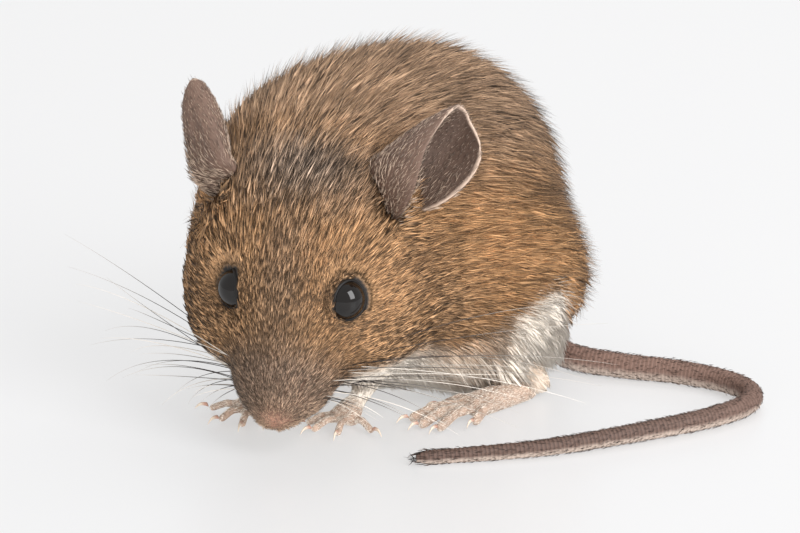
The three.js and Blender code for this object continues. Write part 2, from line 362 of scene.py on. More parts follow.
def paint(text):
    """A colour from its usual six digits, as the linear colour that nodes use."""
    channels = [int(text[i : i + 2], 16) / 255 for i in (0, 2, 4)]
    return (*[c / 12.92 if c <= 0.04045 else ((c + 0.055) / 1.055) ** 2.4 for c in channels], 1.0)


def shade(colour, factor):
    """A colour made darker or lighter."""
    return (*[min(1.0, channel * factor) for channel in colour[:3]], 1.0)


# ---- Sizes and colours that a user would change --------------------------------------------------


def size_choice(name, description, default, **limits):
    return FloatProperty(name=name, description=description, default=default, **limits)


class MouseSkinSizes(bpy.types.PropertyGroup):
    voxel: size_choice("Fineness", "Grain of the skin's mesh, in mm", 0.2, min=0.1, max=1)
    kept: size_choice("Kept", "Share of the faces kept under the coat", 0.24, min=0.05, max=1)
    back_depth: size_choice("Back", "How deep the skin lies under the back's coat, in mm", 1.9)
    face_depth: size_choice("Muzzle", "How deep it lies under the muzzle's coat, in mm", 0.22)
    belly_depth: size_choice("Belly", "How deep it lies under the belly's coat, in mm", 1.4)
    leg_depth: size_choice("Legs", "How deep it lies under the legs' coat, in mm", 0.5)


class MouseCoatSizes(bpy.types.PropertyGroup):
    muzzle_length: size_choice("Muzzle", "Length of the tufts on the muzzle, in mm", 1.3)
    back_length: size_choice("Back", "Length of the tufts on the back, in mm", 5.6)
    leg_length: size_choice("Legs", "Length of the tufts on the legs, in mm", 1.7)
    whisker_width: size_choice("Whiskers", "Thickness of a whisker's root, in mm", 0.1)
    width: size_choice("Width", "Width of a tuft on the back, in mm", 0.09)
    seed: IntProperty(name="Seed", description="Start of the random numbers", default=7)


def colour_choice(name, description, digits):
    colour = {"subtype": "COLOR", "size": 4, "default": paint(digits)}
    return FloatVectorProperty(name=name, description=description, **colour)


class MouseColours(bpy.types.PropertyGroup):
    ochre: colour_choice("Ochre", "The bands of the hairs on the flanks and cheeks", "e0ae7c")
    slate: colour_choice("Slate", "The bands of the hairs on the crown and back", "b29b88")
    brown: colour_choice("Brown", "The muzzle's short hairs", "b69a83")
    white: colour_choice("White", "The belly, throat and lips", "fdf3e6")
    root: colour_choice("Roots", "The hairs' roots", "66533f")
    black: colour_choice("Black", "The dark hairs' tips", "211915")
    bare: colour_choice("Bare skin", "The feet", "b89e8c")
    nose: colour_choice("Nose", "The muzzle's skin and the nose pad", "a98270")
    ear: colour_choice("Ear", "The ears' skin", "5a473d")
    rim: colour_choice("Ear rim", "The pale edge of the ears", "c9b19f")
    tail: colour_choice("Tail", "The tail's upper side", "7b6156")
    tail_under: colour_choice("Tail below", "The tail's lower side", "cdb9ab")


class MouseStageSizes(bpy.types.PropertyGroup):
    azimuth: size_choice("Azimuth", "Round from the front to the left", math.radians(52), subtype="ANGLE")
    elevation: size_choice("Elevation", "Up from the floor", math.radians(18), subtype="ANGLE")
    distance: size_choice("Distance", "From the camera to its aim, in mm", 350)
    lens: size_choice("Lens", "Focal length for a 36 mm sensor", 138.6)
    aim: FloatVectorProperty(
        name="Aim", description="The point in the picture's middle, in mm", default=(-0.33, -5.81, 17)
    )


# ---- Where a point is on the mouse ---------------------------------------------------------------

TAIL_ROOT = Vector((-8.3, 15, 8)) * MM
NOSE_TIP = HEAD @ Vector((0, 0, 0))
EYE_SET_IN = {"left": 0, "right": 0.7}  # how far in from its solid an eye sits
EYES = {
    name: HEAD @ (Vector(((EYE_OUT - inward) * SIDES[name], EYE_BACK, EYE_UP - inward / 2)) * MM)
    for name, inward in EYE_SET_IN.items()
}

# The white's border: its height over the floor from front to rear, and along the jaw in the head's frame.
BORDER_AT, BORDER_HEIGHT = [-12, -2, 7, 10, 13.5], [5.4, 11, 14.8, 13.2, 6]
JAW_AT, JAW_HEIGHT = [1, 9, 18, 26], [-1.3, -2.2, -5.6, -8.2]
BODY_MIDDLE = -9.7  # the body's middle plane, across the frame, in millimetres
HOCK = (18.2, 7.5, 3.5)  # out from that plane, back and up

DEPTH_AT = [2, 8, 15, 24, 34, 46]  # the distances from the nose tip that coat_depth gives a depth for
FOOT_DEPTH = 0.02


def reach(points):
    """How far along the mouse a point is, in millimetres from the nose tip."""
    return np.linalg.norm(points - np.array(NOSE_TIP), axis=1) / MM


def from_eye(points):
    """The distance to the nearer eye's middle, in millimetres."""
    return np.min([np.linalg.norm(points - np.array(eye), axis=1) for eye in EYES.values()], axis=0) / MM


def under(points):
    """1 on the white under side and 0 above it. The border rises along the flank and is low on the jaw."""
    _, y, z = (points / MM).T
    border = np.interp(y, BORDER_AT, BORDER_HEIGHT)
    flank = 1 - smooth_step(border - 0.6, border + 0.6, z)
    _, back, up = in_head(points).T
    jaw_line = np.interp(back, JAW_AT, JAW_HEIGHT)
    jaw = (1 - smooth_step(jaw_line - 0.7, jaw_line + 0.7, up)) * smooth_step(10.5, 7.5, z)
    return flank + (jaw - flank) * smooth_step(31, 23, reach(points))


def crown_patch(points):
    """1 in the middle of the dark patch between the ears, falling to 0 round it."""
    side, back, up = in_head(points).T
    return np.exp(-(((side - 1.5) / 3.6) ** 2) - ((back - 26) / 2.3) ** 2) * smooth_step(-1, 3, up)


def hocks(points):
    """1 at the tan hocks of the hind legs, falling to 0 round them."""
    x, y, z = (points / MM).T
    out, back, up = HOCK
    aside = np.abs(x - BODY_MIDDLE) - out
    return np.exp(-((aside / 3) ** 2) - ((y - back) / 3) ** 2 - ((z - up) / 2.5) ** 2)


def markings(points):
    """The coat's markings, each from 0 to 1: white below, slate on crown and back, brown on the muzzle."""
    side, back, up = in_head(points).T
    along = reach(points)
    front = smooth_step(-1, 3, up)
    crown = np.exp(-((side / 8.5) ** 2) - ((back - 26) / 5) ** 2) * front
    brow = 0.42 * np.exp(-((side / 3.4) ** 2)) * front
    brow *= smooth_step(5, 9, back) * smooth_step(25, 19, back)
    dorsal = 0.6 * smooth_step(22, 34, points[:, 2] / MM) * smooth_step(27, 33, along)
    white = under(points) * (1 - 0.5 * hocks(points))
    face = 0.14 * smooth_step(30, 22, along)
    slate = np.max([crown, brow, dorsal, face], axis=0) * (1 - white)
    return {"white": white, "slate": slate, "muzzle": smooth_step(11, 6, along) * (1 - white)}


LIMBS = {
    "shank": ["shank_left", "shank_right"],
    "foreleg": ["foreleg_left", "foreleg_right"],
    "hind_foot": ["hind_foot_left", "hind_foot_right"],
    "forepaw": ["forepaw_left", "forepaw_right"],
}
LIMB_LIE = {
    "shank": (0.1, 0.55, -0.8),
    "foreleg": (-0.1, -0.55, -0.8),
    "hind_foot": (0, -1, 0),
    "forepaw": (0, -1, 0),
}


def limb_masks(mesh):
    """How much each skin vertex belongs to each kind of limb, evened out over the skin."""
    groups = {"body": BODY_NODES + EYE_NODES, **LIMBS}
    far = []
    points = points_of(mesh)
    for nodes in groups.values():
        part = copy_of(nodes, "part")
        tree = tree_of(part)
        bpy.data.objects.remove(part)
        far.append([tree.find_nearest(p)[3] for p in points])
    nearest = np.argmin(far, axis=0)
    pairs = edges_of(mesh)
    return {name: spread((nearest == k) * 1.0, pairs, 10) for k, name in enumerate(groups)}


def coat_depth(points, legs, feet, sizes):
    """How deep the coat lies over the skin, in millimetres."""
    depths = [FOOT_DEPTH, sizes.face_depth, 0.5, 0.95, 1.5, sizes.back_depth]
    depth = np.interp(reach(points), DEPTH_AT, depths)
    depth += (np.minimum(depth, sizes.belly_depth) - depth) * under(points)
    depth += (np.minimum(depth, sizes.leg_depth) - depth) * legs
    return depth * (1 - feet) + FOOT_DEPTH * feet


# ---- Skin ----------------------------------------------------------------------------------------

CLOSE = 0.2  # the solids are swollen by this many millimetres, so that the thin cuts between them close
EAR_HOLE = (10.6, 26, 0.6)  # in the head's frame, for the left ear
EAR_HOLE_WIDE, EAR_HOLE_DEEP = 1.9, 2.6


LID_HEIGHT = 0.16  # how far over the eyeball the skin's edge lies, in millimetres
SOCKET_RISE = 2.4  # how steeply the skin may rise away from there, in millimetres to the radian


def round_sockets(points):
    """Lays the skin on each eyeball round its lids and drops it under the ball. Also gives the margin."""
    margin = np.zeros(len(points))
    rim = EYE_RADIUS + LID_HEIGHT
    for name, side in SIDES.items():
        away = (points - np.array(EYES[name])) / MM
        far = np.linalg.norm(away, axis=1)
        way = away / far[:, None]
        edge = lid_edge(way, side)
        angle = np.arccos(np.clip(way @ np.array(eye_axis(side)), -1, 1))
        shut = smooth_step(edge - 0.12, edge + 0.02, angle)
        lifted = np.clip(far, rim, rim + SOCKET_RISE * np.maximum(angle - edge, 0))
        sunk = np.minimum(far, EYE_RADIUS - 0.5)
        wanted = far + (sunk + (lifted - sunk) * shut - far) * smooth_step(4.2, 3.4, far)
        points = np.array(EYES[name]) + way * wanted[:, None] * MM
        dark = smooth_step(edge + 0.15, edge + 0.07, angle) * smooth_step(2.95, 2.65, wanted)
        margin = np.maximum(margin, dark)
    return points, margin


def ear_holes(points):
    """1 in the hollow that each ear opens from, falling to 0 round it."""
    spots = [from_head([EAR_HOLE[0] * side, *EAR_HOLE[1:]])[0] for side in SIDES.values()]
    far = np.min([np.linalg.norm(points - spot, axis=1) for spot in spots], axis=0) / MM
    return np.exp(-((far / EAR_HOLE_WIDE) ** 2))


def nose_forms(points):
    """How far the skin of the nose and mouth stands out, in millimetres, and where the nose pad is."""
    side, back, up = in_head(points).T

    def dent(x, y, z, size):
        return np.exp(-((np.abs(side) - x) ** 2 + (back - y) ** 2 + (up - z) ** 2) / size**2)

    pad = smooth_step(3.1, 1.6, np.sqrt(side**2 + (back * 0.9) ** 2 + (0.8 * (up + 0.4)) ** 2))
    nostril = 0.75 * dent(1.15, 0.55, -0.75, 0.42) + 0.4 * dent(1.6, 1.1, -0.6, 0.4)
    cleft = np.exp(-((side / 0.14) ** 2)) * smooth_step(-0.1, -0.7, up) * smooth_step(4.5, 3, back)
    mouth = np.exp(-(((up + 3.3 + 0.08 * back) / 0.22) ** 2))
    mouth *= smooth_step(10, 7, back) * smooth_step(0.6, 1.6, back)
    return 0.06 * pad - nostril - 0.28 * cleft - 0.4 * mouth, pad


def body_skin(sizes):
    """Head, trunk, legs and feet as one closed mesh, sunk under the coat."""
    skin = copy_of(BODY_NODES + EYE_NODES + LEG_NODES + FOOT_NODES, "skin")
    modify(skin, "DISPLACE", strength=CLOSE * MM, mid_level=0.0)
    modify(skin, "REMESH", mode="VOXEL", voxel_size=sizes.voxel * MM)
    mesh = skin.data
    pairs = edges_of(mesh)
    masks = limb_masks(mesh)
    feet = masks["hind_foot"] + masks["forepaw"]
    legs = masks["shank"] + masks["foreleg"]
    points = spread(points_of(mesh), pairs, 5)
    even = spread(points, pairs, 40)
    set_points(mesh, even + (points - even) * np.clip(feet, 0, 1)[:, None])
    depth = coat_depth(points_of(mesh), legs, feet, sizes) + CLOSE
    set_points(mesh, points_of(mesh) - normals_of(mesh) * depth[:, None] * MM)
    round_points, margin = round_sockets(points_of(mesh))
    set_points(mesh, round_points)
    set_attribute(mesh, "lid", margin)
    form, pad = nose_forms(points_of(mesh))
    form -= EAR_HOLE_DEEP * ear_holes(points_of(mesh))
    set_points(mesh, points_of(mesh) + normals_of(mesh) * form[:, None] * MM)
    set_attribute(mesh, "nose", pad)
    for name, values in masks.items():
        set_attribute(mesh, name, values)
    set_attribute(mesh, "foot", feet)
    coated = skin.vertex_groups.new(name="coated")
    at = points_of(mesh)
    fine = np.max([feet, smooth_step(8, 5, reach(at)), smooth_step(4.2, 3.5, from_eye(at))], axis=0)
    for weight in range(1, 11):
        chosen = np.flatnonzero(np.rint(10 * (1 - fine)) == weight)
        coated.add(chosen.tolist(), weight / 10, "REPLACE")
    modify(skin, "DECIMATE", ratio=sizes.kept, vertex_group="coated", vertex_group_factor=1.0)
    skin.vertex_groups.clear()
    return skin


# ---- Ears ----------------------------------------------------------------------------------------

EAR_FEET = {"left": (10.9, 24.4, 1.1), "right": (10.1, 24, 0.6)}
EAR_TIPS = {"left": (17.1, 37.1, 2.4), "right": (15.1, 37.6, 2.4)}
EAR_DEEP, EAR_OUTER = 4.2, 7.6  # where it is widest: half its size front to rear, and how far its cup curves
EAR_INNER_FOOT, EAR_INNER_TIP, EAR_INNER_CURVE = 6.9, 1.2, 1.6  # how far its inner wall stands off its axis
EAR_WIDEST, EAR_BELOW, EAR_ABOVE = 0.56, 0.68, 0.465  # shares of its length
EAR_FRONT_WRAP, EAR_REAR_WRAP = (1.9, 1.6, 1.3), (1.55, 2, 1.95)  # its rims' turn at foot, half and tip
EAR_FACES = {"left": (1, 0, 0.1), "right": (0.75, 0, -1.1)}  # their ways; the right one is turned back
EAR_SPREAD = {"left": (1, 1), "right": (0.85, 0.58)}  # how open it is: its inner wall, and its cup
EAR_WALL = 0.42
EAR_CUT = {"left": 0.26, "right": 0.4}  # how much shorter an ear's edges are than its middle
EAR_BURIED = 0.3  # how much of its length more it goes on into the head
EAR_DIP, EAR_DIP_FROM = 50, 0.3  # how hard its foot bends down into the head, and from which share up


def bent(values, t):
    """A smooth curve that takes three values at 0, a half and 1."""
    foot, half, tip = values
    return (1 - t) ** 2 * foot + 2 * t * (1 - t) * (2 * half - (foot + tip) / 2) + t**2 * tip


def ear_end(ends, name):
    return from_head([ends[name][0] * SIDES[name], *ends[name][1:]])[0]


def ear_rise(name):
    return unit(ear_end(EAR_TIPS, name) - ear_end(EAR_FEET, name))


def ear_shell(name, side):
    """An ear: a grid bent into a cup that opens sideways, given a wall that thins to its rim."""
    bpy.ops.mesh.primitive_grid_add(x_subdivisions=52, y_subdivisions=52, size=2)
    piece = bpy.context.object
    mesh = piece.data
    across, along = points_of(mesh)[:, 0], points_of(mesh)[:, 1]
    t = -EAR_BURIED + (1 + EAR_BURIED) * (along + 1) / 2
    t = t * (1 - EAR_CUT[name] * (1 - np.sqrt(1 - across**4)) * smooth_step(0.2, 1, t))
    foot, rise, tip = ear_end(EAR_FEET, name), ear_rise(name), ear_end(EAR_TIPS, name)
    faces = array_of(HEAD)[:3, :3] @ np.array([EAR_FACES[name][0] * side, *EAR_FACES[name][1:]])
    faces = unit(faces - rise * (faces @ rise))
    over = np.cross(rise, faces)
    held = np.clip(t, 0, 1)
    wraps = np.where(across * side > 0, bent(EAR_REAR_WRAP, held), bent(EAR_FRONT_WRAP, held))
    narrow = (np.maximum(t, 0) - EAR_WIDEST) / np.where(t < EAR_WIDEST, EAR_BELOW, EAR_ABOVE)
    around = np.sqrt(np.maximum(1 - narrow**2, 0.02))
    inner = EAR_INNER_FOOT + (EAR_INNER_TIP - EAR_INNER_FOOT) * held**EAR_INNER_CURVE
    funnel = smooth_step(-0.45, 0.25, t)
    fold = 0.3 * np.exp(-(((across - 0.45 * side) / 0.14) ** 2)) * smooth_step(0.8, 0.4, t)
    fold += 0.25 * np.exp(-(((across + 0.5 * side) / 0.12) ** 2)) * smooth_step(0.9, 0.5, t)
    angle = across * wraps
    inset = EAR_WALL / 2 + fold
    inner_spread, outer_spread = EAR_SPREAD[name]
    walls = inner * inner_spread, EAR_OUTER * around * outer_spread
    out = np.where(np.cos(angle) > 0, *walls) * funnel - inset
    deep = EAR_DEEP * around * outer_spread * funnel - inset
    points = foot + np.outer(t * np.linalg.norm(tip - foot), rise)
    points += (np.outer(np.sin(angle) * deep, over) - np.outer(np.cos(angle) * out, faces)) * MM
    inward = unit(array_of(HEAD)[:3, :3] @ np.array([-0.45 * side, 0.2, -0.85]))
    dip = EAR_DIP * np.maximum(EAR_DIP_FROM - t, 0) ** 1.5 * (0.5 + 0.5 * np.cos(angle))
    points += np.outer(dip, inward) * MM
    set_points(mesh, points)
    wall = piece.vertex_groups.new(name="wall")
    edge = 1 - np.maximum(np.abs(across) ** 4, smooth_step(0.9, 1, along))
    for index, weight in enumerate(0.35 + 0.65 * np.clip(edge * 3, 0, 1)):
        wall.add([index], float(weight), "REPLACE")
    set_attribute(mesh, "ear", np.ones(len(t)))
    rim = smooth_step(0.97, 0.995, np.maximum(np.abs(across), along)) * smooth_step(0, 0.2, t)
    front_side = smooth_step(0.1, -0.1, across * side)
    set_attribute(mesh, "rim", rim * (1 - front_side * smooth_step(0.95, 0.5, t)))
    modify(piece, "SOLIDIFY", thickness=EAR_WALL * MM, offset=0.0, vertex_group="wall")
    piece.vertex_groups.clear()
    from_axis = points_of(mesh) - foot
    from_axis -= np.outer(from_axis @ rise, rise)
    set_attribute(mesh, "outside", (normals_of(mesh) * from_axis).sum(1) > 0)
    return piece


# ---- Lids ----------------------------------------------------------------------------------------

LID_TURNS, LID_SPOKES = 96, 14
TORUS_THICK = 0.25
LID_REACH = math.radians(66)  # from the eye's axis to the lid's edge
LID_CORNER = math.radians(22)  # how much further it reaches at its front corner
LID_THICK = 0.28  # half its width on the eyeball


def eye_axis(side):
    """Which way an eye looks, out of the head."""
    return (HEAD.to_3x3() @ Vector((0.78 * side, -0.1, 0.62))).normalized()


def lid_axes(side):
    """Two directions across an eye: to its front corner, and square to that."""
    axis = np.array(eye_axis(side))
    corner = np.array(HEAD.to_3x3() @ Vector((-0.45 * side, -0.85, -0.1)))
    corner = unit(corner - axis * (corner @ axis))
    return corner, np.cross(axis, corner)


def lid_edge(ways, side):
    """The angle from the eye's axis to the lid's edge, on the side of each direction."""
    corner, across = lid_axes(side)
    turn = np.arctan2(ways @ across, ways @ corner)
    drawn = np.abs(np.cos(turn)) ** 4 * np.where(np.cos(turn) > 0, 1, 0.4)
    return LID_REACH + LID_CORNER * drawn


def lid_ring(side):
    """A thin dark lid round an eye: a torus laid on the eyeball, drawn out to its two corners."""
    bpy.ops.mesh.primitive_torus_add(
        major_segments=LID_TURNS, minor_segments=LID_SPOKES, major_radius=1, minor_radius=TORUS_THICK
    )
    piece = bpy.context.object
    points = points_of(piece.data)
    turn = np.arctan2(points[:, 1], points[:, 0])
    ring_wide = np.hypot(points[:, 0], points[:, 1]) - 1
    section = np.stack([ring_wide, points[:, 2]], axis=1) / TORUS_THICK * LID_THICK
    axis = np.array(eye_axis(side))
    corner, across = lid_axes(side)
    outward = np.outer(np.cos(turn), corner) + np.outer(np.sin(turn), across)
    height = EYE_RADIUS + 0.04 + section[:, 1] * 0.6
    slide = lid_edge(outward, side) + section[:, 0] / EYE_RADIUS
    ring = np.outer(np.cos(slide), axis) + outward * np.sin(slide)[:, None]
    set_points(piece.data, np.array(EYES["left" if side > 0 else "right"]) + ring * height[:, None] * MM)
    set_attribute(piece.data, "lid", np.ones(len(points)))
    edit(piece, face_outward())
    return piece


# ---- Tail ----------------------------------------------------------------------------------------

TAIL_ROUTE = [
    (-8.33, 13.69, 6.2),
    (-6.53, 16.19, 4.5),
    (-2.33, 16.99, 3.1),
    (2.47, 17.59, 1.9),
    (7.87, 20.79, 1.5),
    (13.47, 24.79, 1.4),
    (19.07, 27.09, 1.33),
    (23.67, 26.79, 1.3),
    (26.27, 23.39, 1.27),
    (26.47, 16.79, 1.22),
    (24.47, 6.79, 1.13),
    (21.87, -2.21, 1),
    (18.67, -9.01, 0.9),
    (14.97, -15.61, 0.79),
]
TAIL_ROOT_RADIUS, TAIL_END_RADIUS = 1.68, 0.76
TAIL_RINGS = 172
TAIL_SCALES = 14  # round each ring


def tail_line(count):
    """Points evenly along the tail's middle line, and the way it runs at each."""
    route = np.array(TAIL_ROUTE)
    route = np.vstack([2 * route[0] - route[1], route, 2 * route[-1] - route[-2]])
    fine = []
    for a, b, c, d in zip(route, route[1:], route[2:], route[3:]):
        t = np.linspace(0, 1, 40, endpoint=False)[:, None]
        bend = (2 * a - 5 * b + 4 * c - d) * t**2 + (3 * b - a - 3 * c + d) * t**3
        fine.append(0.5 * (2 * b + (c - a) * t + bend))
    fine = np.vstack([*fine, route[-2][None]])
    run = np.concatenate([[0], np.cumsum(np.linalg.norm(np.diff(fine, axis=0), axis=1))])
    at = np.linspace(0, run[-1], count)
    line = np.stack([np.interp(at, run, fine[:, k]) for k in range(3)], axis=1)
    return line, unit(np.gradient(line, axis=0)), run[-1]


def tail_radius(t):
    left = np.clip((1.004 - t) / 0.02, 0, 1)
    return (TAIL_ROOT_RADIUS + (TAIL_END_RADIUS - TAIL_ROOT_RADIUS) * t) * np.sqrt(left)


def tail_skin():
    """The tail: a grid rolled into a tube, with rings of overlapping scales."""
    steps = 4 * TAIL_RINGS
    bpy.ops.mesh.primitive_grid_add(x_subdivisions=2 * TAIL_SCALES, y_subdivisions=steps, size=2)
    piece = bpy.context.object
    mesh = piece.data
    turn = points_of(mesh)[:, 0] * math.pi
    t = (points_of(mesh)[:, 1] + 1) / 2
    line, way, _ = tail_line(steps + 1)
    row = np.rint(t * steps).astype(int)
    side = unit(np.cross(way, [0, 0, 1]))
    up = np.cross(side, way)
    ring = row / 4
    saw = ring - np.floor(ring)
    scale = np.cos(turn * TAIL_SCALES + np.pi * np.floor(ring))
    radius = tail_radius(t) * (1 + 0.055 * saw * (1 + 0.5 * scale) - 0.03)
    radius[(row == 0) | (row == steps)] = 0
    sideways, upward = (np.sin(turn) * radius)[:, None], (np.cos(turn) * radius)[:, None]
    set_points(mesh, (line[row] + side[row] * sideways + up[row] * upward) * MM)
    set_attribute(mesh, "tail", np.ones(len(t)))
    set_attribute(mesh, "tail_top", (np.cos(turn) + 1) / 2)
    # groove_shade is 1 where each scale ring starts, under the edge of the ring before, and falls to 0 at the
    # ring's raised edge.
    set_attribute(mesh, "groove_shade", 1 - saw)
    set_attribute(mesh, "tail_end", smooth_step(0.25, 0.75, t))
    edit(piece, merge(0.001), face_outward())
    return piece


class MOUSE_OT_skin(bpy.types.Operator):
    """Makes the skin: one mesh of head, trunk, legs, feet, ears, lids and tail, under the coat"""

    bl_idname = "mouse.skin"
    bl_label = "Skin"

    def execute(self, context):
        skin = body_skin(context.scene.mouse_skin)
        for name, values in markings(points_of(skin.data)).items():
            set_attribute(skin.data, name, values)
        shells = [ear_shell(name, side) for name, side in SIDES.items()]
        lids = [lid_ring(side) for side in SIDES.values()]
        # Where each ear opens, the skin is marked to be painted near black: painted shade in the hole.
        set_attribute(skin.data, "hollow", ear_holes(points_of(skin.data)))
        skin = joined([skin, *shells, *lids, tail_skin()], "skin")
        smooth(skin.data)
        replaced = BODY_NODES + LEG_NODES + FOOT_NODES + EAR_NODES + TAIL_NODES
        dress(skin, skin_material(context.scene.mouse_colours), "bare_skin", *replaced)
        return {"FINISHED"}


def skin_material(colours):
    shop = Shop("hide")
    place = shop.place()
    patches = shop.noise(place, 0.9)
    grain = shop.noise(place, 0.16, detail=2.0)
    wrinkles = shop.cells(place, 0.45)
    foot, ear, tail = (shop.attribute(name) for name in ("foot", "ear", "tail"))
    flank = shop.mix(patches, shade(colours.ochre, 0.3), shade(colours.ochre, 0.6))
    colour = shop.mix(shop.attribute("slate"), flank, shade(colours.slate, 0.45))
    colour = shop.mix(shop.attribute("white"), colour, shade(colours.white, 0.9))
    muzzle = shop.mix(patches, shade(colours.nose, 0.32), shade(colours.nose, 0.75))
    colour = shop.mix(shop.attribute("muzzle"), colour, muzzle)
    speckles = shop.noise(place, 0.35, detail=2.0).step(0.3, 0.65)
    pad = shop.mix(speckles, shade(colours.nose, 0.6), shade(colours.nose, 1.5))
    colour = shop.mix(shop.attribute("nose"), colour, pad)
    feet = shop.mix(patches.step(0.35, 0.65), shade(colours.bare, 0.78), shade(colours.bare, 1.08))
    feet = shop.mix(wrinkles.step(0.35, 0.75) * 0.4, feet, shade(colours.bare, 0.5))
    colour = shop.mix(foot, colour, feet)
    ears = shop.mix(patches, shade(colours.ear, 0.7), shade(colours.ear, 1.1))
    ears = shop.mix(shop.attribute("outside"), ears, shade(colours.ear, 1.45))
    colour = shop.mix(ear, colour, shop.mix(shop.attribute("rim"), ears, colours.rim))
    # The tail's skin is painted darker where each scale ring starts, under the edge of the ring before, and
    # lighter at the raised edge: painted shade and painted light from the rings' relief.
    groove_shade = shop.attribute("groove_shade")
    above = shop.mix(groove_shade * 0.6, shade(colours.tail, 1.15), shade(colours.tail, 0.5))
    end = shop.mix(groove_shade, shade(colours.tail, 0.75), shade(colours.tail, 0.35))
    above = shop.mix(shop.attribute("tail_end"), above, end)
    below = shop.mix(groove_shade * 0.7, colours.tail_under, shade(colours.tail_under, 0.6))
    tails = shop.mix((shop.attribute("tail_top") + patches * 0.2).step(0.3, 0.7), below, above)
    colour = shop.mix(tail, colour, tails)
    # The lids are black skin of their own; the ear openings are painted black too, as painted shade in the
    # holes.
    dark = shop.attribute("lid") + shop.attribute("hollow")
    colour = shop.mix(dark, colour, shade(colours.black, 0.25))
    shop.feed("Base Color", colour)
    moist = shop.attribute("lid") + shop.attribute("nose")
    shop.feed("Roughness", 0.62 - moist * 0.12 + patches * 0.08)
    shop.bump(grain * 0.6 + wrinkles * foot, 0.05, 0.9)
    return shop.material


# ---- Eyes ----------------------------------------------------------------------------------------


class MOUSE_OT_eyes(bpy.types.Operator):
    """Makes the two glossy eyes"""

    bl_idname = "mouse.eyes"
    bl_label = "Eyes"

    def execute(self, context):
        shop = Shop("eye", roughness=0.04, IOR=1.5)
        pupil = shop.noise(shop.place(), 0.8)
        shop.feed("Base Color", shop.mix(pupil, paint("060504"), paint("120c09")))
        for name, side in SIDES.items():
            bpy.ops.mesh.primitive_uv_sphere_add(segments=64, ring_count=40, radius=EYE_RADIUS * MM)
            eye = context.object
            eye.name = f"eyeball_{name}"
            turn = eye_axis(side).to_track_quat("Z", "Y").to_matrix().to_4x4()
            eye.data.transform(Matrix.Translation(EYES[name]) @ turn)
            smooth(eye.data)
            dress(eye, shop.material, "eye", f"eye_{name}")
        return {"FINISHED"}


# ---- Coat ----------------------------------------------------------------------------------------


def attribute_of(mesh, name):
    layer = mesh.attributes.get(name)
    values = np.zeros(len(mesh.vertices), np.float32)
    if layer:
        layer.data.foreach_get("value", values)
    return values.astype(float)


class Ground:
    """The skin as arrays, for the coat to grow on: its triangles, its masks and a tree without its ears."""

    def __init__(self, skin):
        mesh = skin.data
        mesh.calc_loop_triangles()
        triangles = mesh.loop_triangles
        self.points = points_of(mesh)
        self.normals = normals_of(mesh)
        self.corners = np.empty(len(triangles) * 3, np.int32)
        self.loops = np.empty(len(triangles) * 3, np.int32)
        self.face = np.empty(len(triangles), np.int32)
        triangles.foreach_get("vertices", self.corners)
        triangles.foreach_get("loops", self.loops)
        triangles.foreach_get("polygon_index", self.face)
        self.corners = self.corners.reshape(-1, 3)
        self.loops = self.loops.reshape(-1, 3)
        a, b, c = (self.points[self.corners[:, k]] for k in range(3))
        self.area = np.linalg.norm(np.cross(b - a, c - a), axis=1) / 2 / MM**2
        self.middle = (a + b + c) / 3
        self.masks = {name: attribute_of(mesh, name) for name in SKIN_MASKS}
        self.laid_on = np.flatnonzero(self.masks["ear"][self.corners].max(1) < 0.5)
        self.tree = BVHTree.FromPolygons(self.points.tolist(), self.corners[self.laid_on].tolist())

    def mask_at(self, name, triangles, weights):
        return (self.masks[name][self.corners[triangles]] * weights).sum(1)

    def sample(self, chosen, density, count, rng):
        """Points spread over the chosen triangles: their triangle and their weights on its corners."""
        share = np.cumsum(self.area[chosen] * density[chosen])
        at = (np.arange(count) + rng.random(count)) / count * share[-1]
        triangles = chosen[np.minimum(np.searchsorted(share, at), len(chosen) - 1)]
        u, v = np.sqrt(rng.random(count)), rng.random(count)
        return triangles, np.stack([1 - u, u * (1 - v), u * v], axis=1)

    def blend(self, values, triangles, weights):
        return (values[self.corners[triangles]] * weights[:, :, None]).sum(1)

    def nearest(self, points):
        """The nearest places on the skin, its ears left out, and the skin's normals there."""
        found = [self.tree.find_nearest(p) for p in points]
        places = np.array([f[0] for f in found])
        corner = self.corners[self.laid_on[[f[2] for f in found]], 0]
        return places, self.normals[corner]


def unwrap_zones(skin, ground, zones):
    """Unwraps each zone of the skin by itself over the whole square, and returns every loop's place."""
    mesh = skin.data
    mesh.uv_layers.new(name="coat_map")
    only(skin)
    bpy.context.tool_settings.mesh_select_mode = (False, False, True)
    zone_of_face = np.zeros(len(mesh.polygons), np.int32)
    zone_of_face[ground.face] = zones
    for zone in np.unique(zones):
        mesh.vertices.foreach_set("select", np.zeros(len(mesh.vertices), bool))
        mesh.edges.foreach_set("select", np.zeros(len(mesh.edges), bool))
        mesh.polygons.foreach_set("select", zone_of_face == zone)
        bpy.ops.object.mode_set(mode="EDIT")
        bpy.ops.uv.smart_project(angle_limit=math.radians(66), island_margin=0.002)
        bpy.ops.object.mode_set(mode="OBJECT")
    uv = np.empty(len(mesh.loops) * 2, np.float32)
    mesh.uv_layers["coat_map"].data.foreach_get("uv", uv)
    mesh.uv_layers.remove(mesh.uv_layers["coat_map"])
    return uv.reshape(-1, 2).astype(float)


# How strongly the coat runs from the nose, to the tail, round the eyes and ears, and down the sides.
NOSE_FLOW, TAIL_FLOW, EYE_FLOW, EAR_FLOW, DOWN_FLOW = 1, 0.8, 0.35, 0.12, 0.016


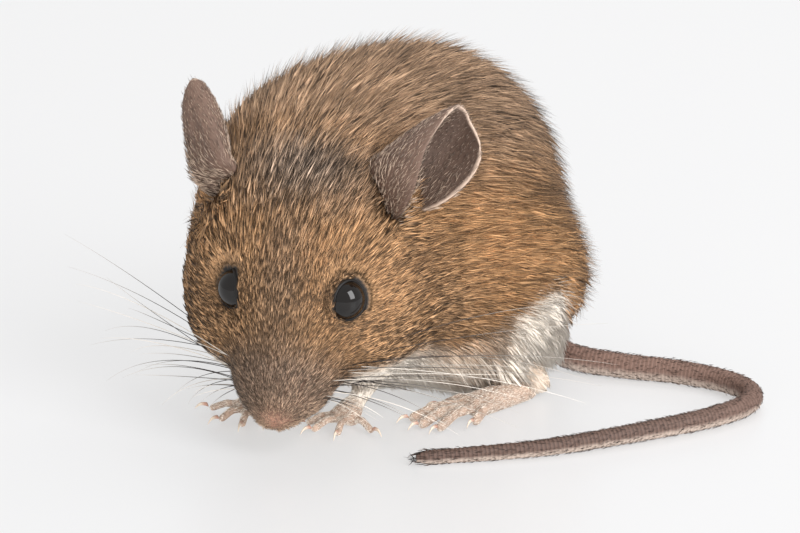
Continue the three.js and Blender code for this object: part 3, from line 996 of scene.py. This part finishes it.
def flow(points, normals, limbs):
    """The way the coat lies: from the nose, round the eyes and ears, down the legs and in to the tail."""

    def out_of(source, strength, power):
        away = (points - np.array(source)) / MM
        far = np.maximum(np.linalg.norm(away, axis=1, keepdims=True), 0.5)
        return strength * away / far ** (power + 1)

    way = out_of(NOSE_TIP, NOSE_FLOW, 1) - out_of(TAIL_ROOT, TAIL_FLOW, 1)
    for name in SIDES:
        way += out_of(EYES[name], EYE_FLOW, 2)
        way += out_of(ear_end(EAR_FEET, name), EAR_FLOW, 2)
    aside = smooth_step(4, 9, np.abs(in_head(points)[:, 0]))
    along = reach(points)
    drop = DOWN_FLOW * smooth_step(14, 24, along) * np.maximum(aside, smooth_step(24, 34, along))
    way = unit(way - np.outer(drop, [0, 0, 1]))
    for name, lie in LIMB_LIE.items():
        way = way + 2.5 * limbs[name][:, None] * unit(np.array(lie))
    way -= normals * (way * normals).sum(1, keepdims=True)
    return unit(way)


# How many tufts and guard hairs each zone of the coat has, and how many short hairs are on ears and tail.
ZONES = {
    "muzzle": 30000,
    "face_left": 46000,
    "face_right": 36000,
    "nape": 40000,
    "back": 36000,
    "flank_left": 44000,
    "flank_right": 26000,
    "rump": 26000,
    "belly": 24000,
    "limbs": 11000,
}
GUARDS = {"nape": 2800, "back": 5000, "flank_left": 2800, "flank_right": 2000, "rump": 3000}
EAR_HAIRS, TAIL_HAIRS = 10000, 4600
CLUMP = 9  # tufts drawn together into one lock
SKIN_MASKS = ("shank", "foreleg", "hind_foot", "forepaw", "foot", "ear", "outside", "tail", "nose")


def zone_of(points, legs):
    """Which of the coat's pieces grows at each point, as its number in ZONES."""
    names = list(ZONES)
    along = reach(points)
    side = in_head(points)[:, 0]
    x, y, z = (points / MM).T
    zone = np.where(x > -8, names.index("flank_left"), names.index("flank_right"))
    zone[(z > 27) & (y < 14)] = names.index("back")
    zone[y > 14] = names.index("rump")
    zone[under(points) > 0.5] = names.index("belly")
    zone[(along < 38) & (z > 12)] = names.index("nape")
    face = along < 25
    zone[face] = np.where(side[face] > 0, names.index("face_left"), names.index("face_right"))
    zone[along < 12.5] = names.index("muzzle")
    zone[legs > 0.5] = names.index("limbs")
    return zone


TUFT_AT = [0, 6, 14, 22, 30, 44]  # the distances from the nose tip that tuft_sizes gives sizes for
TUFT_WIDTHS = [0.5, 0.6, 0.8, 0.85, 0.9, 1]  # as shares of the width on the back


def tuft_sizes(points, limbs, sizes):
    """Length and width of the tufts at each point, in millimetres, and how much it is on a leg or foot."""
    along = reach(points)
    muzzle = sizes.muzzle_length
    length = np.interp(along, TUFT_AT, [0.5 * muzzle, muzzle, 2.3, 3.6, 4.6, sizes.back_length])
    width = sizes.width * np.interp(along, TUFT_AT, TUFT_WIDTHS)
    near = smooth_step(6.5, 2.4, from_eye(points))
    length = length * (1 - 0.45 * near) * (1 - 0.6 * ear_holes(points))
    legs = np.clip(sum(limbs.values()), 0, 1)
    feet = np.clip(limbs["hind_foot"] + limbs["forepaw"], 0, 1)
    length += (sizes.leg_length - length) * legs
    length *= 1 - 0.6 * feet
    width *= 1 - 0.55 * legs
    return length, width, legs, feet


FLOOR_GAP = 0.03  # no hair comes nearer to the floor than this


def write_tufts(name, points, faces, uv, attributes, material):
    """A piece of many small closed tufts: points (tufts, corners, 3), and the same faces on each."""
    points = points.copy()
    points[..., 2] = np.maximum(points[..., 2], FLOOR_GAP * MM)
    tufts, corners = points.shape[:2]
    index = (np.arange(tufts)[:, None, None] * corners + faces[None]).reshape(-1)
    mesh = bpy.data.meshes.new(name)
    mesh.vertices.add(tufts * corners)
    mesh.vertices.foreach_set("co", points.astype(np.float32).ravel())
    mesh.loops.add(len(index))
    mesh.loops.foreach_set("vertex_index", index.astype(np.int32))
    mesh.polygons.add(len(index) // 3)
    mesh.polygons.foreach_set("loop_start", np.arange(0, len(index), 3, dtype=np.int32))
    smooth(mesh)
    layer = mesh.uv_layers.new(name="OFBake")
    layer.data.foreach_set("uv", uv.reshape(-1, 2)[index].astype(np.float32).ravel())
    for key, values in attributes.items():
        set_attribute(mesh, key, np.broadcast_to(values, (tufts, corners)).ravel())
    mesh.update(calc_edges=True)
    piece = bpy.data.objects.new(name, mesh)
    bpy.context.scene.collection.objects.link(piece)
    dress(piece, material, "coat")
    return piece


# A kite is a tuft of four corners: its root, its two sides and its tip.
KITE = np.array([[0, 2, 1], [3, 1, 2], [0, 1, 3], [0, 3, 2]])
KITE_ALONG = np.array([0, 0.5, 0.5, 1])
KITE_SIDE = np.array([0, -1, 1, 0])
PATCH = 0.003  # a tuft's size on the coat's map

# A spike is a guard hair: three corners at its root, three half way and one at its tip.
SPIKE_SIDES = [[[a, b, 3 + b], [a, 3 + b, 3 + a], [3 + a, 3 + b, 6]] for a, b in ((0, 1), (1, 2), (2, 0))]
SPIKE = np.array([[0, 2, 1], *sum(SPIKE_SIDES, [])])
SPIKE_ALONG = np.array([0, 0, 0, 0.55, 0.55, 0.55, 1])
SPIKE_SIDE = np.array([-1, 0, 1, -1, 0, 1, 0])


def patches_at(root_uv, along, aside):
    """Each tuft's little patch on the coat's map, round its root's place."""
    return root_uv[:, None, :] + np.stack([aside * 0.5, along - 0.5], axis=1)[None] * PATCH


def lay_tufts(ground, roots, normals, limbs, length, heights, lean):
    """The middle and tip of tufts that start at the roots and follow the coat's lie over the skin."""
    way = flow(roots, normals, limbs)
    way = unit(way + np.cross(way, normals) * lean[:, None])
    place, normal = ground.nearest(roots + way * length[:, None] * MM / 2)
    middle_point = place + normal * heights[0][:, None] * MM
    onward = unit(way - normal * (way * normal).sum(1, keepdims=True))
    place, normal = ground.nearest(place + onward * length[:, None] * MM / 2)
    return middle_point, place + normal * heights[1][:, None] * MM


def nearest_seed(points, seeds):
    """The number of the seed that is nearest to each point."""
    tree = KDTree(len(seeds))
    for number, seed in enumerate(seeds):
        tree.insert(seed, number)
    tree.balance()
    return np.array([tree.find(p)[1] for p in points])


class Patch:
    """Roots for a number of tufts on one zone of the skin, with all that the tufts need to know there."""

    def __init__(self, ground, uv, zones, number, count, sizes, depths, rng):
        chosen = np.flatnonzero(zones == number)
        masks = {k: ground.masks[k][ground.corners[chosen]].mean(1) for k in LIMBS}
        length, width, _, _ = tuft_sizes(ground.middle[chosen], masks, sizes)
        density = np.zeros(len(zones))
        density[chosen] = 1 / (length * width)
        triangles, weights = ground.sample(chosen, density, count, rng)
        self.roots = ground.blend(ground.points, triangles, weights)
        self.normals = unit(ground.blend(ground.normals, triangles, weights))
        self.limbs = {k: ground.mask_at(k, triangles, weights) for k in LIMBS}
        self.nose = ground.mask_at("nose", triangles, weights)
        self.length, self.width, legs, feet = tuft_sizes(self.roots, self.limbs, sizes)
        self.depth = coat_depth(self.roots, legs, feet, depths) + 0.05
        self.uv = (uv[ground.loops[triangles]] * weights[:, :, None]).sum(1)
        self.marks = markings(self.roots)


def hanging(patch):
    """How far the belly's fluff hangs below the lie of the coat, in millimetres."""
    along = reach(patch.roots)
    belly = patch.marks["white"] * smooth_step(16, 24, along) * smooth_step(0.3, -0.3, patch.normals[:, 2])
    return 5.5 * belly * (1 - np.clip(sum(patch.limbs.values()), 0, 1))


def hung(points, by):
    """Points let down by some millimetres, and no lower than just above the floor."""
    lower = points + np.outer(by, [0, 0.15, -1]) * MM
    lower[:, 2] = np.maximum(lower[:, 2], np.minimum(points[:, 2], 0.5 * MM))
    return lower


def share_of_dark(patch):
    """How many of the tufts have black tips: most on the face, crown and brow, and none on the white."""
    marks = patch.marks
    along = reach(patch.roots)
    close = smooth_step(34, 22, along)
    share = 0.12 + 0.32 * close + (0.06 + 0.32 * close) * marks["slate"] + 0.2 * marks["muzzle"]
    # Round the ear openings the tips turn black as painted shade in the holes; round the eyes they are the
    # dark hairs by the lids.
    share += 0.7 * smooth_step(2.72, 2.5, from_eye(patch.roots)) + ear_holes(patch.roots)
    share += 0.35 * crown_patch(patch.roots) - 0.9 * marks["white"] - 0.4 * patch.nose
    return share + 0.22 * smooth_step(8, 12, along) * smooth_step(19, 14, along)


def under_tufts(name, ground, patch, material, rng):
    """One zone's coat: kites that lie in layers, drawn together at their tips into locks."""
    count = len(patch.roots)
    seeds = rng.choice(count, max(count // CLUMP, 1), replace=False)
    lock = nearest_seed(patch.roots, patch.roots[seeds])
    white = patch.marks["white"]
    layer = rng.random(count) * (1 - 0.5 * white)
    length = patch.length * rng.uniform(0.7, 1.15, count) * (1 - 0.5 * patch.nose)
    lift = rng.uniform(0.85, 1.25, len(seeds))[lock] + 0.5 * (rng.random(count) < 0.04)
    stands = rng.uniform(0, 0.5, count) * patch.marks["muzzle"]
    lift = lift * (0.3 + 0.7 * smooth_step(2.4, 3.6, from_eye(patch.roots)))
    depth = patch.depth * lift
    heights = (depth * (0.2 + 0.5 * layer) + stands / 3, depth * (0.3 + 0.75 * layer) + stands)
    lean = rng.normal(0, 0.1, count) + rng.normal(0, 0.12, len(seeds))[lock]
    half, tip = lay_tufts(ground, patch.roots, patch.normals, patch.limbs, length, heights, lean)
    pull = rng.uniform(0.1, 0.45, len(seeds))[lock][:, None]
    own = seeds[lock]
    shift = (tip[own] - patch.roots[own]) * (length / length[own])[:, None]
    drawn = patch.roots[own] + shift + (patch.roots - patch.roots[own]) * 0.25
    drawn_by = drawn - tip
    tip = tip + drawn_by * pull
    half = half + drawn_by * pull * 0.3
    fluff = hanging(patch) * rng.uniform(0.2, 1, count)
    tip, half = (hung(points, fluff * share) for points, share in ((tip, 1), (half, 0.45)))
    root = patch.roots - patch.normals * 0.05 * MM
    width = patch.width * rng.uniform(0.6, 1.15, count) * (1 - 0.6 * patch.nose) * (1 + 0.4 * white)
    side = unit(np.cross(tip - root, patch.normals)) * (width / 2 * MM)[:, None]
    rise = ((half - (root + tip) / 2) * patch.normals).sum(1)
    half = half + patch.normals * np.maximum(0.02 * MM - rise, 0)[:, None]
    points = np.stack([root, half - side, half + side, tip], axis=1)
    dark_share = share_of_dark(patch)
    shade_of_lock = rng.random(len(seeds))[lock]
    attributes = {
        "along": KITE_ALONG[None],
        "tint": (0.8 * rng.random(count) + 0.2 * shade_of_lock)[:, None],
        "dark": (rng.random(count) < dark_share)[:, None] * 1.0,
        **{key: values[:, None] for key, values in patch.marks.items()},
    }
    uv = patches_at(patch.uv, KITE_ALONG, KITE_SIDE)
    write_tufts(f"coat_{name}", points, KITE, uv, attributes, material)


def guard_hairs(name, ground, patch, material, rng):
    """Long dark hairs that stand a little out of the coat: thin three-sided spikes with a bend."""
    count = len(patch.roots)
    length = patch.length * rng.uniform(1.05, 1.45, count)
    stands = rng.uniform(0.4, 2.4, count) * smooth_step(14, 40, reach(patch.roots))
    heights = (patch.depth * 0.85 + 0.25 * stands, patch.depth + stands)
    lean = rng.normal(0, 0.16, count)
    half, tip = lay_tufts(ground, patch.roots, patch.normals, patch.limbs, length, heights, lean)
    way = unit(tip - patch.roots)
    first = unit(np.cross(way, patch.normals))
    second = np.cross(way, first)
    radius = rng.uniform(0.022, 0.036, count)[:, None] * MM
    corners = []
    for centre, size in ((patch.roots - patch.normals * 0.05 * MM, 0.7), (half, 1.0)):
        for turn in (0, 2 * math.pi / 3, 4 * math.pi / 3):
            corners.append(centre + (first * math.cos(turn) + second * math.sin(turn)) * radius * size)
    points = np.stack([*corners, tip], axis=1)
    attributes = {
        "along": SPIKE_ALONG[None],
        "tint": rng.random(count)[:, None],
        "dark": (rng.random(count) < 0.55)[:, None] * 1.0,
        **{key: values[:, None] for key, values in patch.marks.items()},
    }
    uv = patches_at(patch.uv, SPIKE_ALONG, SPIKE_SIDE)
    write_tufts(f"guard_{name}", points, SPIKE, uv, attributes, material)


def short_hairs(name, ground, uv, mask, count, length_of, width, way_of, material, rng):
    """Short hairs on bare skin, such as the ears' and the tail's: kites that lie along a given way."""
    amount = ground.masks[mask][ground.corners].mean(1)
    chosen = np.flatnonzero(amount > 0.5)
    triangles, weights = ground.sample(chosen, np.ones(len(amount)), count, rng)
    roots = ground.blend(ground.points, triangles, weights)
    normals = unit(ground.blend(ground.normals, triangles, weights))
    way = way_of(roots)
    way = way - normals * (way * normals).sum(1, keepdims=True)
    way = unit(way) + np.cross(normals, unit(way)) * rng.normal(0, 0.25, count)[:, None]
    length = length_of(roots)
    long = (length * rng.uniform(0.6, 1.3, count))[:, None] * MM
    tip = roots + unit(way) * long + normals * long * rng.uniform(0.03, 0.2, count)[:, None]
    half = (roots + tip) / 2 + normals * long * 0.06
    side = unit(np.cross(tip - roots, normals)) * (width * rng.uniform(0.6, 1.1, count) / 2 * MM)[:, None]
    points = np.stack([roots - normals * 0.03 * MM, half - side, half + side, tip], axis=1)
    root_uv = (uv[ground.loops[triangles]] * weights[:, :, None]).sum(1)
    fur = np.maximum(smooth_step(0.9, 1.5, length), 0.3) > rng.random(count)
    outside = ground.mask_at("outside", triangles, weights)
    tint = np.clip(rng.random(count) + 0.3 * outside - 0.15, 0, 1)
    attributes = {"along": KITE_ALONG[None], "tint": tint[:, None], "fur": fur[:, None]}
    uv = patches_at(root_uv, KITE_ALONG, KITE_SIDE)
    write_tufts(name, points, KITE, uv, attributes, material)


def up_the_ear(points):
    """The way that an ear's hairs lie: up to its tip and out to its rims."""
    near = in_head(points)[:, 0] > 0
    rise = np.where(near[:, None], ear_rise("left"), ear_rise("right"))
    out = array_of(HEAD)[:3, 0] * np.where(near, 1, -1)[:, None]
    return rise + 0.35 * out


def ear_hair_length(points):
    """Short on most of the ear and longer at its foot, where the coat runs up it."""
    feet = [ear_end(EAR_FEET, name) for name in SIDES]
    far = np.min([np.linalg.norm(points - foot, axis=1) for foot in feet], axis=0) / MM
    return np.interp(far, [3, 5, 8.5, 13], [1.8, 1.6, 0.9, 0.65])


def tail_hair_length(points):
    """Longest at the tail's end, where the hairs make a small brush."""
    far = np.linalg.norm(points - np.array(TAIL_ROUTE[-1]) * MM, axis=1) / MM
    return np.interp(far, [0, 2.5, 6], [1.5, 0.95, 0.7])


def down_the_tail(points):
    """The way that the tail's hairs lie: along it, to its end."""
    line, way, _ = tail_line(160)
    return way[nearest_seed(points, line * MM)]


class MOUSE_OT_coat(bpy.types.Operator):
    """Grows the coat over the skin, in tufts that lie along the body, one piece for each zone"""

    bl_idname = "mouse.coat"
    bl_label = "Coat"

    def execute(self, context):
        sizes, depths = context.scene.mouse_coat, context.scene.mouse_skin
        colours = context.scene.mouse_colours
        skin = bpy.data.objects["skin"]
        ground = Ground(skin)
        rng = np.random.default_rng(sizes.seed)
        bare = np.maximum(ground.masks["ear"], ground.masks["tail"])[ground.corners].max(1)
        bare = np.maximum(bare, attribute_of(skin.data, "lid")[ground.corners].min(1))
        bare = np.maximum(bare, 1.4 * ear_holes(ground.middle))
        legs_at = ground.masks["shank"] + ground.masks["foreleg"] + ground.masks["foot"]
        zones = zone_of(ground.middle, legs_at[ground.corners].mean(1))
        zones[bare > 0.5] = len(ZONES)
        uv = unwrap_zones(skin, ground, zones)
        material = coat_material(colours)
        for number, (name, count) in enumerate(ZONES.items()):
            patch = Patch(ground, uv, zones, number, count, sizes, depths, rng)
            under_tufts(name, ground, patch, material, rng)
            if name in GUARDS:
                patch = Patch(ground, uv, zones, number, GUARDS[name], sizes, depths, rng)
                guard_hairs(name, ground, patch, material, rng)
        hair = hair_material("ear_hair", shade(colours.black, 2.2), shade(colours.rim, 0.7), colours.slate)
        where = "ear", EAR_HAIRS, ear_hair_length, 0.04, up_the_ear
        short_hairs("hair_ears", ground, uv, *where, hair, rng)
        hair = hair_material("tail_hair", shade(colours.black, 1.2), shade(colours.tail, 0.9), colours.black)
        where = "tail", TAIL_HAIRS, tail_hair_length, 0.05, down_the_tail
        short_hairs("hair_tail", ground, uv, *where, hair, rng)
        return {"FINISHED"}


def coat_material(colours):
    shop = Shop("coat", roughness=0.5, Specular_IOR_Level=0.35)
    along, tint, dark = (shop.attribute(name) for name in ("along", "tint", "dark"))
    white, slate, muzzle = (shop.attribute(name) for name in ("white", "slate", "muzzle"))
    place = shop.place()
    light = tint * 0.95 + shop.noise(place, 2.2) * 0.75 + shop.noise(place, 7) * 0.6 - 0.65
    band = shop.mix(light, shade(colours.ochre, 0.36), shade(colours.ochre, 1.15))
    for amount, colour, least, most in (
        (slate, colours.slate, 0.2, 1.45),
        (muzzle, colours.brown, 0.14, 2.0),
        (white, colours.white, 0.92, 1),
    ):
        band = shop.mix(amount, band, shop.mix(light, shade(colour, least), shade(colour, most)))
    roots = shop.mix(white, colours.root, shade(colours.white, 0.9))
    colour = shop.mix(along.step(0.6, 0.1), band, roots)
    colour = shop.mix(dark * along.step(0.35, 0.75) * 0.85, colour, colours.black)
    shop.feed("Base Color", colour)
    return shop.material


def hair_material(name, root_colour, tip_colour, fur_colour):
    shop = Shop(name, roughness=0.45, Specular_IOR_Level=0.4)
    along, tint = shop.attribute("along"), shop.attribute("tint")
    hair = shop.mix(along * 0.35 + tint.step(0.3, 0.8) * 0.75, root_colour, tip_colour)
    fur = shop.mix(tint, shade(fur_colour, 0.4), shade(fur_colour, 1.2))
    shop.feed("Base Color", shop.mix(shop.attribute("fur"), hair, fur))
    return shop.material


# ---- Whiskers ------------------------------------------------------------------------------------

WHISKER_ROWS = 5
WHISKERS_IN_ROW = 5
WHISKER_SIDES, WHISKER_RINGS = 5, 16
WHISKER_LIMIT = ((-0.0385, -0.0392, 0.0012), (0.0385, 0.03, 0.06))  # they end inside this box


def whisker_line(root, way, bend, length):
    t = np.linspace(0, 1, WHISKER_RINGS)[:, None]
    return root + (way * t + bend * t**2) * length * MM


def whisker_lines(ground, rng):
    """The middle lines of all the whiskers: rows on each pad, longer and turned further back at its rear."""
    lines = []
    turn = array_of(HEAD)[:3, :3]
    low, high = (np.array(corner) for corner in WHISKER_LIMIT)
    for side in SIDES.values():
        for row in range(WHISKER_ROWS):
            for place in range(WHISKERS_IN_ROW - (row == WHISKER_ROWS - 1)):
                back = 3.0 + 1.25 * place + 0.35 * (row % 2) + rng.normal(0, 0.12)
                up = 0.9 - 0.75 * row + rng.normal(0, 0.08)
                outside = from_head([7 * side, back, up])
                root = ground.nearest(outside)[0][0]
                rear = place / (WHISKERS_IN_ROW - 1)
                way = turn @ np.array([side, 0.12 + 0.3 * rear - 0.09 * row, 0.12 - 0.3 * rear - 0.06 * row])
                way = way + np.array([0, 0.2, 0]) + rng.normal(0, 0.06, 3)
                bend = turn @ np.array([-0.1 * side, 0.12 * rear - 0.04, -0.12]) + np.array([0, 0, -0.18])
                bend = bend + rng.normal(0, 0.06, 3)
                length = (8 + 31 * rear**0.8) * (1 - 0.06 * row) * rng.uniform(0.8, 1.1)
                line = whisker_line(root, unit(way), bend, length)
                while np.any(line < low) or np.any(line > high):
                    length *= 0.94
                    line = whisker_line(root, unit(way), bend, length)
                lines.append(line)
    return lines


class MOUSE_OT_whiskers(bpy.types.Operator):
    """Makes the whiskers: long tapered bristles in rows on each side of the muzzle"""

    bl_idname = "mouse.whiskers"
    bl_label = "Whiskers"

    def execute(self, context):
        sizes = context.scene.mouse_coat
        rng = np.random.default_rng(sizes.seed + 1)
        lines = np.array(whisker_lines(Ground(bpy.data.objects["skin"]), rng))
        way = unit(np.gradient(lines, axis=1))
        first = unit(np.cross(way, [0.1, 0.2, 1]))
        second = np.cross(way, first)
        t = np.linspace(0, 1, WHISKER_RINGS)
        radius = sizes.whisker_width / 2 * (1 - 0.85 * t**1.3) * MM
        rings = []
        for spoke in range(WHISKER_SIDES):
            turn = 2 * math.pi * spoke / WHISKER_SIDES
            rings.append(lines + (first * math.cos(turn) + second * math.sin(turn)) * radius[None, :, None])
        points = np.stack(rings, axis=2).reshape(len(lines), -1, 3)
        faces = []
        for ring in range(WHISKER_RINGS - 1):
            for spoke in range(WHISKER_SIDES):
                a, b = ring * WHISKER_SIDES + spoke, ring * WHISKER_SIDES + (spoke + 1) % WHISKER_SIDES
                faces += [[a, b, b + WHISKER_SIDES], [a, b + WHISKER_SIDES, a + WHISKER_SIDES]]
        last = (WHISKER_RINGS - 1) * WHISKER_SIDES
        for spoke in range(1, WHISKER_SIDES - 1):
            faces += [[0, spoke + 1, spoke], [last, last + spoke, last + spoke + 1]]
        along = np.repeat(t, WHISKER_SIDES)
        root_uv = np.stack(np.meshgrid(np.linspace(0.05, 0.95, 10), np.linspace(0.05, 0.95, 10)), axis=-1)
        root_uv = root_uv.reshape(-1, 2)[: len(lines)]
        colours = context.scene.mouse_colours
        shop = Shop("whisker", roughness=0.35)
        pale = shop.attribute("along").step(0.35, 0.9) * 0.6 + shop.attribute("tint").step(0.55, 0.9) * 0.7
        shop.feed("Base Color", shop.mix(pale, shade(colours.black, 1.3), colours.white))
        attributes = {"along": along[None], "tint": rng.random(len(lines))[:, None]}
        uv = patches_at(root_uv, along, np.tile(np.linspace(-1, 1, WHISKER_SIDES), WHISKER_RINGS))
        write_tufts("whiskers", points, np.array(faces), uv, attributes, shop.material)
        return {"FINISHED"}


# ---- Claws ---------------------------------------------------------------------------------------

CLAW_NODES = [name for name in frame["nodes"] if name.startswith("claw")]
CLAW_SPOKES, CLAW_RINGS = 10, 10
CLAW_WIDE, CLAW_FINE, CLAW_ARCH = 0.26, 0.02, 0.32  # its radius at the root and tip, and how far it arches up
CLAW_BURIED = 0.25  # how much of its length more it goes back into the toe


def claw(name):
    """A curved claw over its solid: it leaves the toe, arches a little and ends in a fine point."""
    corners = points_of(frame["nodes"][name].data)
    centre = corners.mean(0)
    tip = corners[np.argmax(np.linalg.norm(corners - centre, axis=1))]
    from_tip = np.linalg.norm(corners - tip, axis=1)
    base = corners[from_tip > 0.8 * from_tip.max()].mean(0)
    way = tip - base
    bpy.ops.mesh.primitive_cylinder_add(vertices=CLAW_SPOKES, radius=1, depth=1, end_fill_type="TRIFAN")
    piece = bpy.context.object
    heights = [0.5 - 1e-4, *[ring / CLAW_RINGS - 0.5 for ring in range(1, CLAW_RINGS)]]
    upward = {"plane_no": (0, 0, 1)}
    edit(piece, *[(bpy.ops.mesh.bisect, {"plane_co": (0, 0, height), **upward}) for height in heights])
    local = points_of(piece.data)
    t = local[:, 2] + 0.5
    up = np.array([0, 0, 1.0])
    across = unit(np.cross(way, up))
    above = np.cross(across, unit(way))
    radius = (CLAW_WIDE * (1 - t) ** 0.75 + CLAW_FINE) * MM
    line = base - way * CLAW_BURIED + np.outer(t, way * (1 + CLAW_BURIED))
    line = line + np.outer(CLAW_ARCH * np.sin(math.pi * t) * MM, above)
    section = np.outer(local[:, 0] * radius * 0.75, across) + np.outer(local[:, 1] * radius, above)
    set_points(piece.data, line + section)
    set_attribute(piece.data, "along", t)
    edit(piece, face_outward())
    return piece


class MOUSE_OT_claws(bpy.types.Operator):
    """Makes the eighteen curved claws"""

    bl_idname = "mouse.claws"
    bl_label = "Claws"

    def execute(self, context):
        claws = joined([claw(name) for name in CLAW_NODES], "claws")
        smooth(claws.data)
        shop = Shop("claw", roughness=0.3)
        streaks = shop.noise(shop.place(), 0.2)
        tip = shop.mix(streaks, paint("e9dccb"), paint("cdb9a4"))
        shop.feed("Base Color", shop.mix(shop.attribute("along").step(0.5, 0.1), tip, paint("b98e7c")))
        dress(claws, shop.material, "horn", *CLAW_NODES)
        return {"FINISHED"}


# ---- Camera, lights and floor --------------------------------------------------------------------

WHITE = (1, 1, 1, 1)
SKY_STRENGTH = 0.66
FLOOR_GLOW = 0.49  # keeps the shadows pale
# Each light's name, azimuth and elevation in degrees, distance and size in mm, power, and if the eyes
# mirror it.
LIGHTS = [
    ("key_light", 101, 36, 420, (210, 330), 1.45, True),
    ("fill_light", 56, 7, 520, (640, 160), 2.2, False),
    ("back_light", 215, 55, 480, (400, 300), 1.2, False),
]


def look(position, aim):
    """The matrix of something at position that looks at aim, upright."""
    back = (position - aim).normalized()
    right = Vector((0, 0, 1)).cross(back).normalized()
    turn = Matrix((right, back.cross(right), back)).transposed().to_4x4()
    return Matrix.Translation(position) @ turn


def toward(azimuth, elevation):
    """The way out from the mouse: round from its front to its left, and up from the floor."""
    level = math.cos(elevation)
    return Vector((math.sin(azimuth) * level, -math.cos(azimuth) * level, math.sin(elevation)))


def soft_light(aim, name, azimuth, elevation, distance, size, power, mirrored):
    bpy.ops.object.light_add(type="AREA")
    light = bpy.context.object
    light.name = name
    light.data.shape = "RECTANGLE"
    light.data.size, light.data.size_y = size[0] * MM, size[1] * MM
    light.data.energy = power
    light.visible_glossy = mirrored
    way = toward(math.radians(azimuth), math.radians(elevation))
    light.matrix_world = look(aim + way * distance * MM, aim)


class MOUSE_OT_stage(bpy.types.Operator):
    """Makes the camera, the soft studio light and the plain pale floor"""

    bl_idname = "mouse.stage"
    bl_label = "Stage"

    def execute(self, context):
        sizes = context.scene.mouse_stage
        aim = Vector(sizes.aim) * MM
        bpy.ops.object.camera_add()
        camera = context.object
        camera.data.lens = sizes.lens
        camera.data.sensor_width = 36
        camera.data.clip_start = 0.01
        way = toward(sizes.azimuth, sizes.elevation)
        camera.matrix_world = look(aim + way * sizes.distance * MM, aim)
        context.scene.camera = camera
        for light in LIGHTS:
            soft_light(aim, *light)
        world = bpy.data.worlds.new("studio")
        world.use_nodes = True
        sky = world.node_tree.nodes["Background"].inputs
        sky["Color"].default_value = WHITE
        sky["Strength"].default_value = SKY_STRENGTH
        context.scene.world = world
        bpy.ops.mesh.primitive_plane_add(size=6)
        floor = context.object
        floor.name = "floor"
        glow = {"Emission_Color": WHITE, "Emission_Strength": FLOOR_GLOW}
        pale = Shop("pale_floor", roughness=0.35, Base_Color=paint("8c8c8d"), **glow)
        floor.data.materials.append(pale.material)
        context.scene.view_settings.view_transform = "Standard"
        return {"FINISHED"}


# ---- Panel, registering and running --------------------------------------------------------------

STEPS = [
    MOUSE_OT_stage,
    MOUSE_OT_skin,
    MOUSE_OT_eyes,
    MOUSE_OT_claws,
    MOUSE_OT_coat,
    MOUSE_OT_whiskers,
]


class MOUSE_PT_panel(bpy.types.Panel):
    """Lists the mouse's sizes and the buttons that make its pieces"""

    bl_idname = "MOUSE_PT_panel"
    bl_label = "Field mouse"
    bl_space_type = "VIEW_3D"
    bl_region_type = "UI"
    bl_category = "Mouse"

    def draw(self, context):
        for name in GROUPS:
            group = getattr(context.scene, name)
            box = self.layout.box()
            for prop in group.bl_rna.properties.keys()[2:]:
                box.prop(group, prop)
        for step in STEPS:
            self.layout.operator(step.bl_idname)


GROUPS = {
    "mouse_skin": MouseSkinSizes,
    "mouse_coat": MouseCoatSizes,
    "mouse_colours": MouseColours,
    "mouse_stage": MouseStageSizes,
}
CLASSES = [*GROUPS.values(), *STEPS, MOUSE_PT_panel]


def register():
    for made in CLASSES:
        bpy.utils.register_class(made)
    for name, group in GROUPS.items():
        setattr(bpy.types.Scene, name, PointerProperty(type=group))


def unregister():
    for name in GROUPS:
        delattr(bpy.types.Scene, name)
    for made in reversed(CLASSES):
        bpy.utils.unregister_class(made)


def main():
    register()
    for step in STEPS:
        family, name = step.bl_idname.split(".")
        getattr(getattr(bpy.ops, family), name)()


if __name__ == "__main__":
    main()
